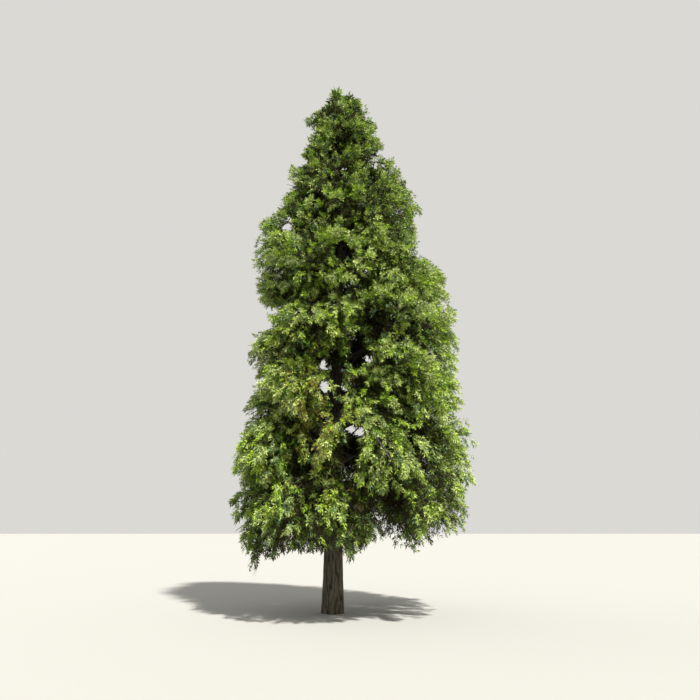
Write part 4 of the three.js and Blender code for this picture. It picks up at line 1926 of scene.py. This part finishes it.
@dataclass(frozen=True)
class Foliage:
    """All foliage: the masses' twigs and sprays, joined by the numbers of their tiers."""

    growth: Growth
    masses: list[Mass]
    groups: tuple[tuple[str, tuple[int, ...]], ...] = (
        ("skirt", (0,)),
        ("low", (1,)),
        ("lower_middle", (2,)),
        ("middle", (3,)),
        ("upper_middle", (4,)),
        ("shoulder", (5, 8)),
        ("crown", (6, 7, 9)),
    )
    first_seed: int = 100
    axis_sides: int = 4
    twig_sides: int = 3

    def twig_piece(self, name: str, harvest: Harvest, bark: bpy.types.Material) -> bpy.types.Object:
        """Joins the plumes' axes and side twigs of some masses into one piece.

        Args:
            name: Name of the piece.
            harvest: What the masses have grown.
            bark: The boughs' bark.

        Returns:
            The finished piece.
        """
        axes, axis_radii, twigs, twig_radii = (
            harvest.joined(row) for row in ("axes", "axis_radii", "twigs", "twig_radii")
        )
        thick, thick_faces = tapered_tubes(axes, axis_radii, self.axis_sides)
        thin, thin_faces = tapered_tubes(twigs, twig_radii, self.twig_sides)
        triangles = np.concatenate([thick_faces, thin_faces + len(thick)])
        piece = joined_mesh(name, np.concatenate([thick, thin]), triangles, [bark])
        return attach(piece, "root")

    def build(self, scales: bpy.types.ShaderNodeTree, bark: bpy.types.Material) -> list[bpy.types.Object]:
        """Grows all masses and makes their pieces.

        Args:
            scales: The sprays' shared scale effect.
            bark: The boughs' bark, which the twigs wear too.

        Returns:
            The finished pieces.
        """
        materials = [tint.value.material(scales) for tint in Tint]
        pieces = []
        for number, (label, levels) in enumerate(self.groups):
            harvest = Harvest()
            members = [mass for mass in self.masses if mass.tier in levels]
            count = sum(self.growth.grow(mass, harvest) for mass in members)
            nodes = [f"foliage_{mass.name}" for mass in members]
            leafy = LeafyPiece(f"sprays_{label}").build(harvest, nodes, materials, self.first_seed + number)
            pieces += [leafy, self.twig_piece(f"twigs_{label}", harvest, bark)]
            log.info("%s: %d sprays", label, count)
        return pieces


# Studio


@dataclass(frozen=True)
class Sun:
    """A soft distant light: its strength, its softness, and its height and azimuth in degrees."""

    name: str
    strength: float
    softness: float
    height: float
    azimuth: float
    colour: Colour = (1.0, 0.965, 0.9)

    def build(self) -> None:
        """Adds the light."""
        data = bpy.data.lights.new(self.name, "SUN")
        data.energy, data.angle, data.color = self.strength, math.radians(self.softness), self.colour
        light = bpy.data.objects.new(self.name, data)
        turn, lift = math.radians(self.azimuth), math.radians(self.height)
        level = math.cos(lift)
        towards = Vector((level * math.cos(turn), level * math.sin(turn), math.sin(lift)))
        light.rotation_euler = towards.to_track_quat("Z", "Y").to_euler()
        bpy.context.scene.collection.objects.link(light)


@dataclass(frozen=True)
class Studio:
    """Camera at the photograph's angle, soft light and a pale floor."""

    camera_place: Place = (0.339, -12.594, 1.6)
    camera_pitch: float = 107.15
    lens: float = 29.83
    sensor: float = 36.0
    sight: float = 500.0
    suns: tuple[Sun, ...] = (
        Sun("key_light", 8.3, 3.0, 57.0, -58.0),
        Sun("fill_light", 0.64, 60.0, 30.0, 150.0),
    )
    sky: Colour = linear(238, 237, 232)
    sky_strength: float = 0.82
    floor_size: float = 400.0
    floor_colour: Colour = linear(150, 150, 147)
    floor_roughness: float = 0.9

    def camera(self) -> None:
        """Adds the camera."""
        data = bpy.data.cameras.new("view")
        data.lens, data.sensor_width, data.clip_end = self.lens, self.sensor, self.sight
        camera = bpy.data.objects.new("view", data)
        camera.location = self.camera_place
        camera.rotation_euler = (math.radians(self.camera_pitch), 0, 0)
        bpy.context.scene.collection.objects.link(camera)
        bpy.context.scene.camera = camera

    def floor(self) -> None:
        """Adds the floor."""
        bpy.ops.object.select_all(action="DESELECT")
        bpy.ops.mesh.primitive_plane_add(size=self.floor_size, location=(0, 0, 0))
        floor = bpy.context.object
        floor.name = "floor"
        material, graph = new_material("pale_floor")
        graph.surface({"Base Color": (*self.floor_colour, 1.0), "Roughness": self.floor_roughness})
        floor.data.materials.append(material)

    def build(self) -> None:
        """Sets up the studio."""
        self.camera()
        for sun in self.suns:
            sun.build()
        world = bpy.data.worlds.new("studio")
        world.use_nodes = True
        light = world.node_tree.nodes["Background"].inputs
        light["Color"].default_value = (*self.sky, 1.0)
        light["Strength"].default_value = self.sky_strength
        bpy.context.scene.world = world
        self.floor()
        bpy.context.scene.view_settings.view_transform = "Standard"


def main() -> None:
    """Builds the tree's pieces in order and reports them."""
    logging.basicConfig(level=logging.INFO, format="%(message)s")
    Studio().build()
    trunk = Trunk()
    crown = Crown(trunk)
    masses = Plan(trunk, crown).masses()
    fibres = bark_fibre_group()
    made = [trunk.build(fibres), Boughs(trunk, masses).build(fibres)]
    rules = (TwigRule(), SprayRule(crown), EdgeRule(trunk, crown), Colouring(crown))
    growth = Growth(trunk, crown, *rules)
    made += Foliage(growth, masses).build(leaf_scale_group(), made[1].data.materials[0])
    for piece in made:
        piece.data.calc_loop_triangles()
        log.info("%s: %d triangles", piece.name, len(piece.data.loop_triangles))
    log.info("all pieces: %d triangles", sum(len(piece.data.loop_triangles) for piece in made))


if __name__ == "__main__":
    main()
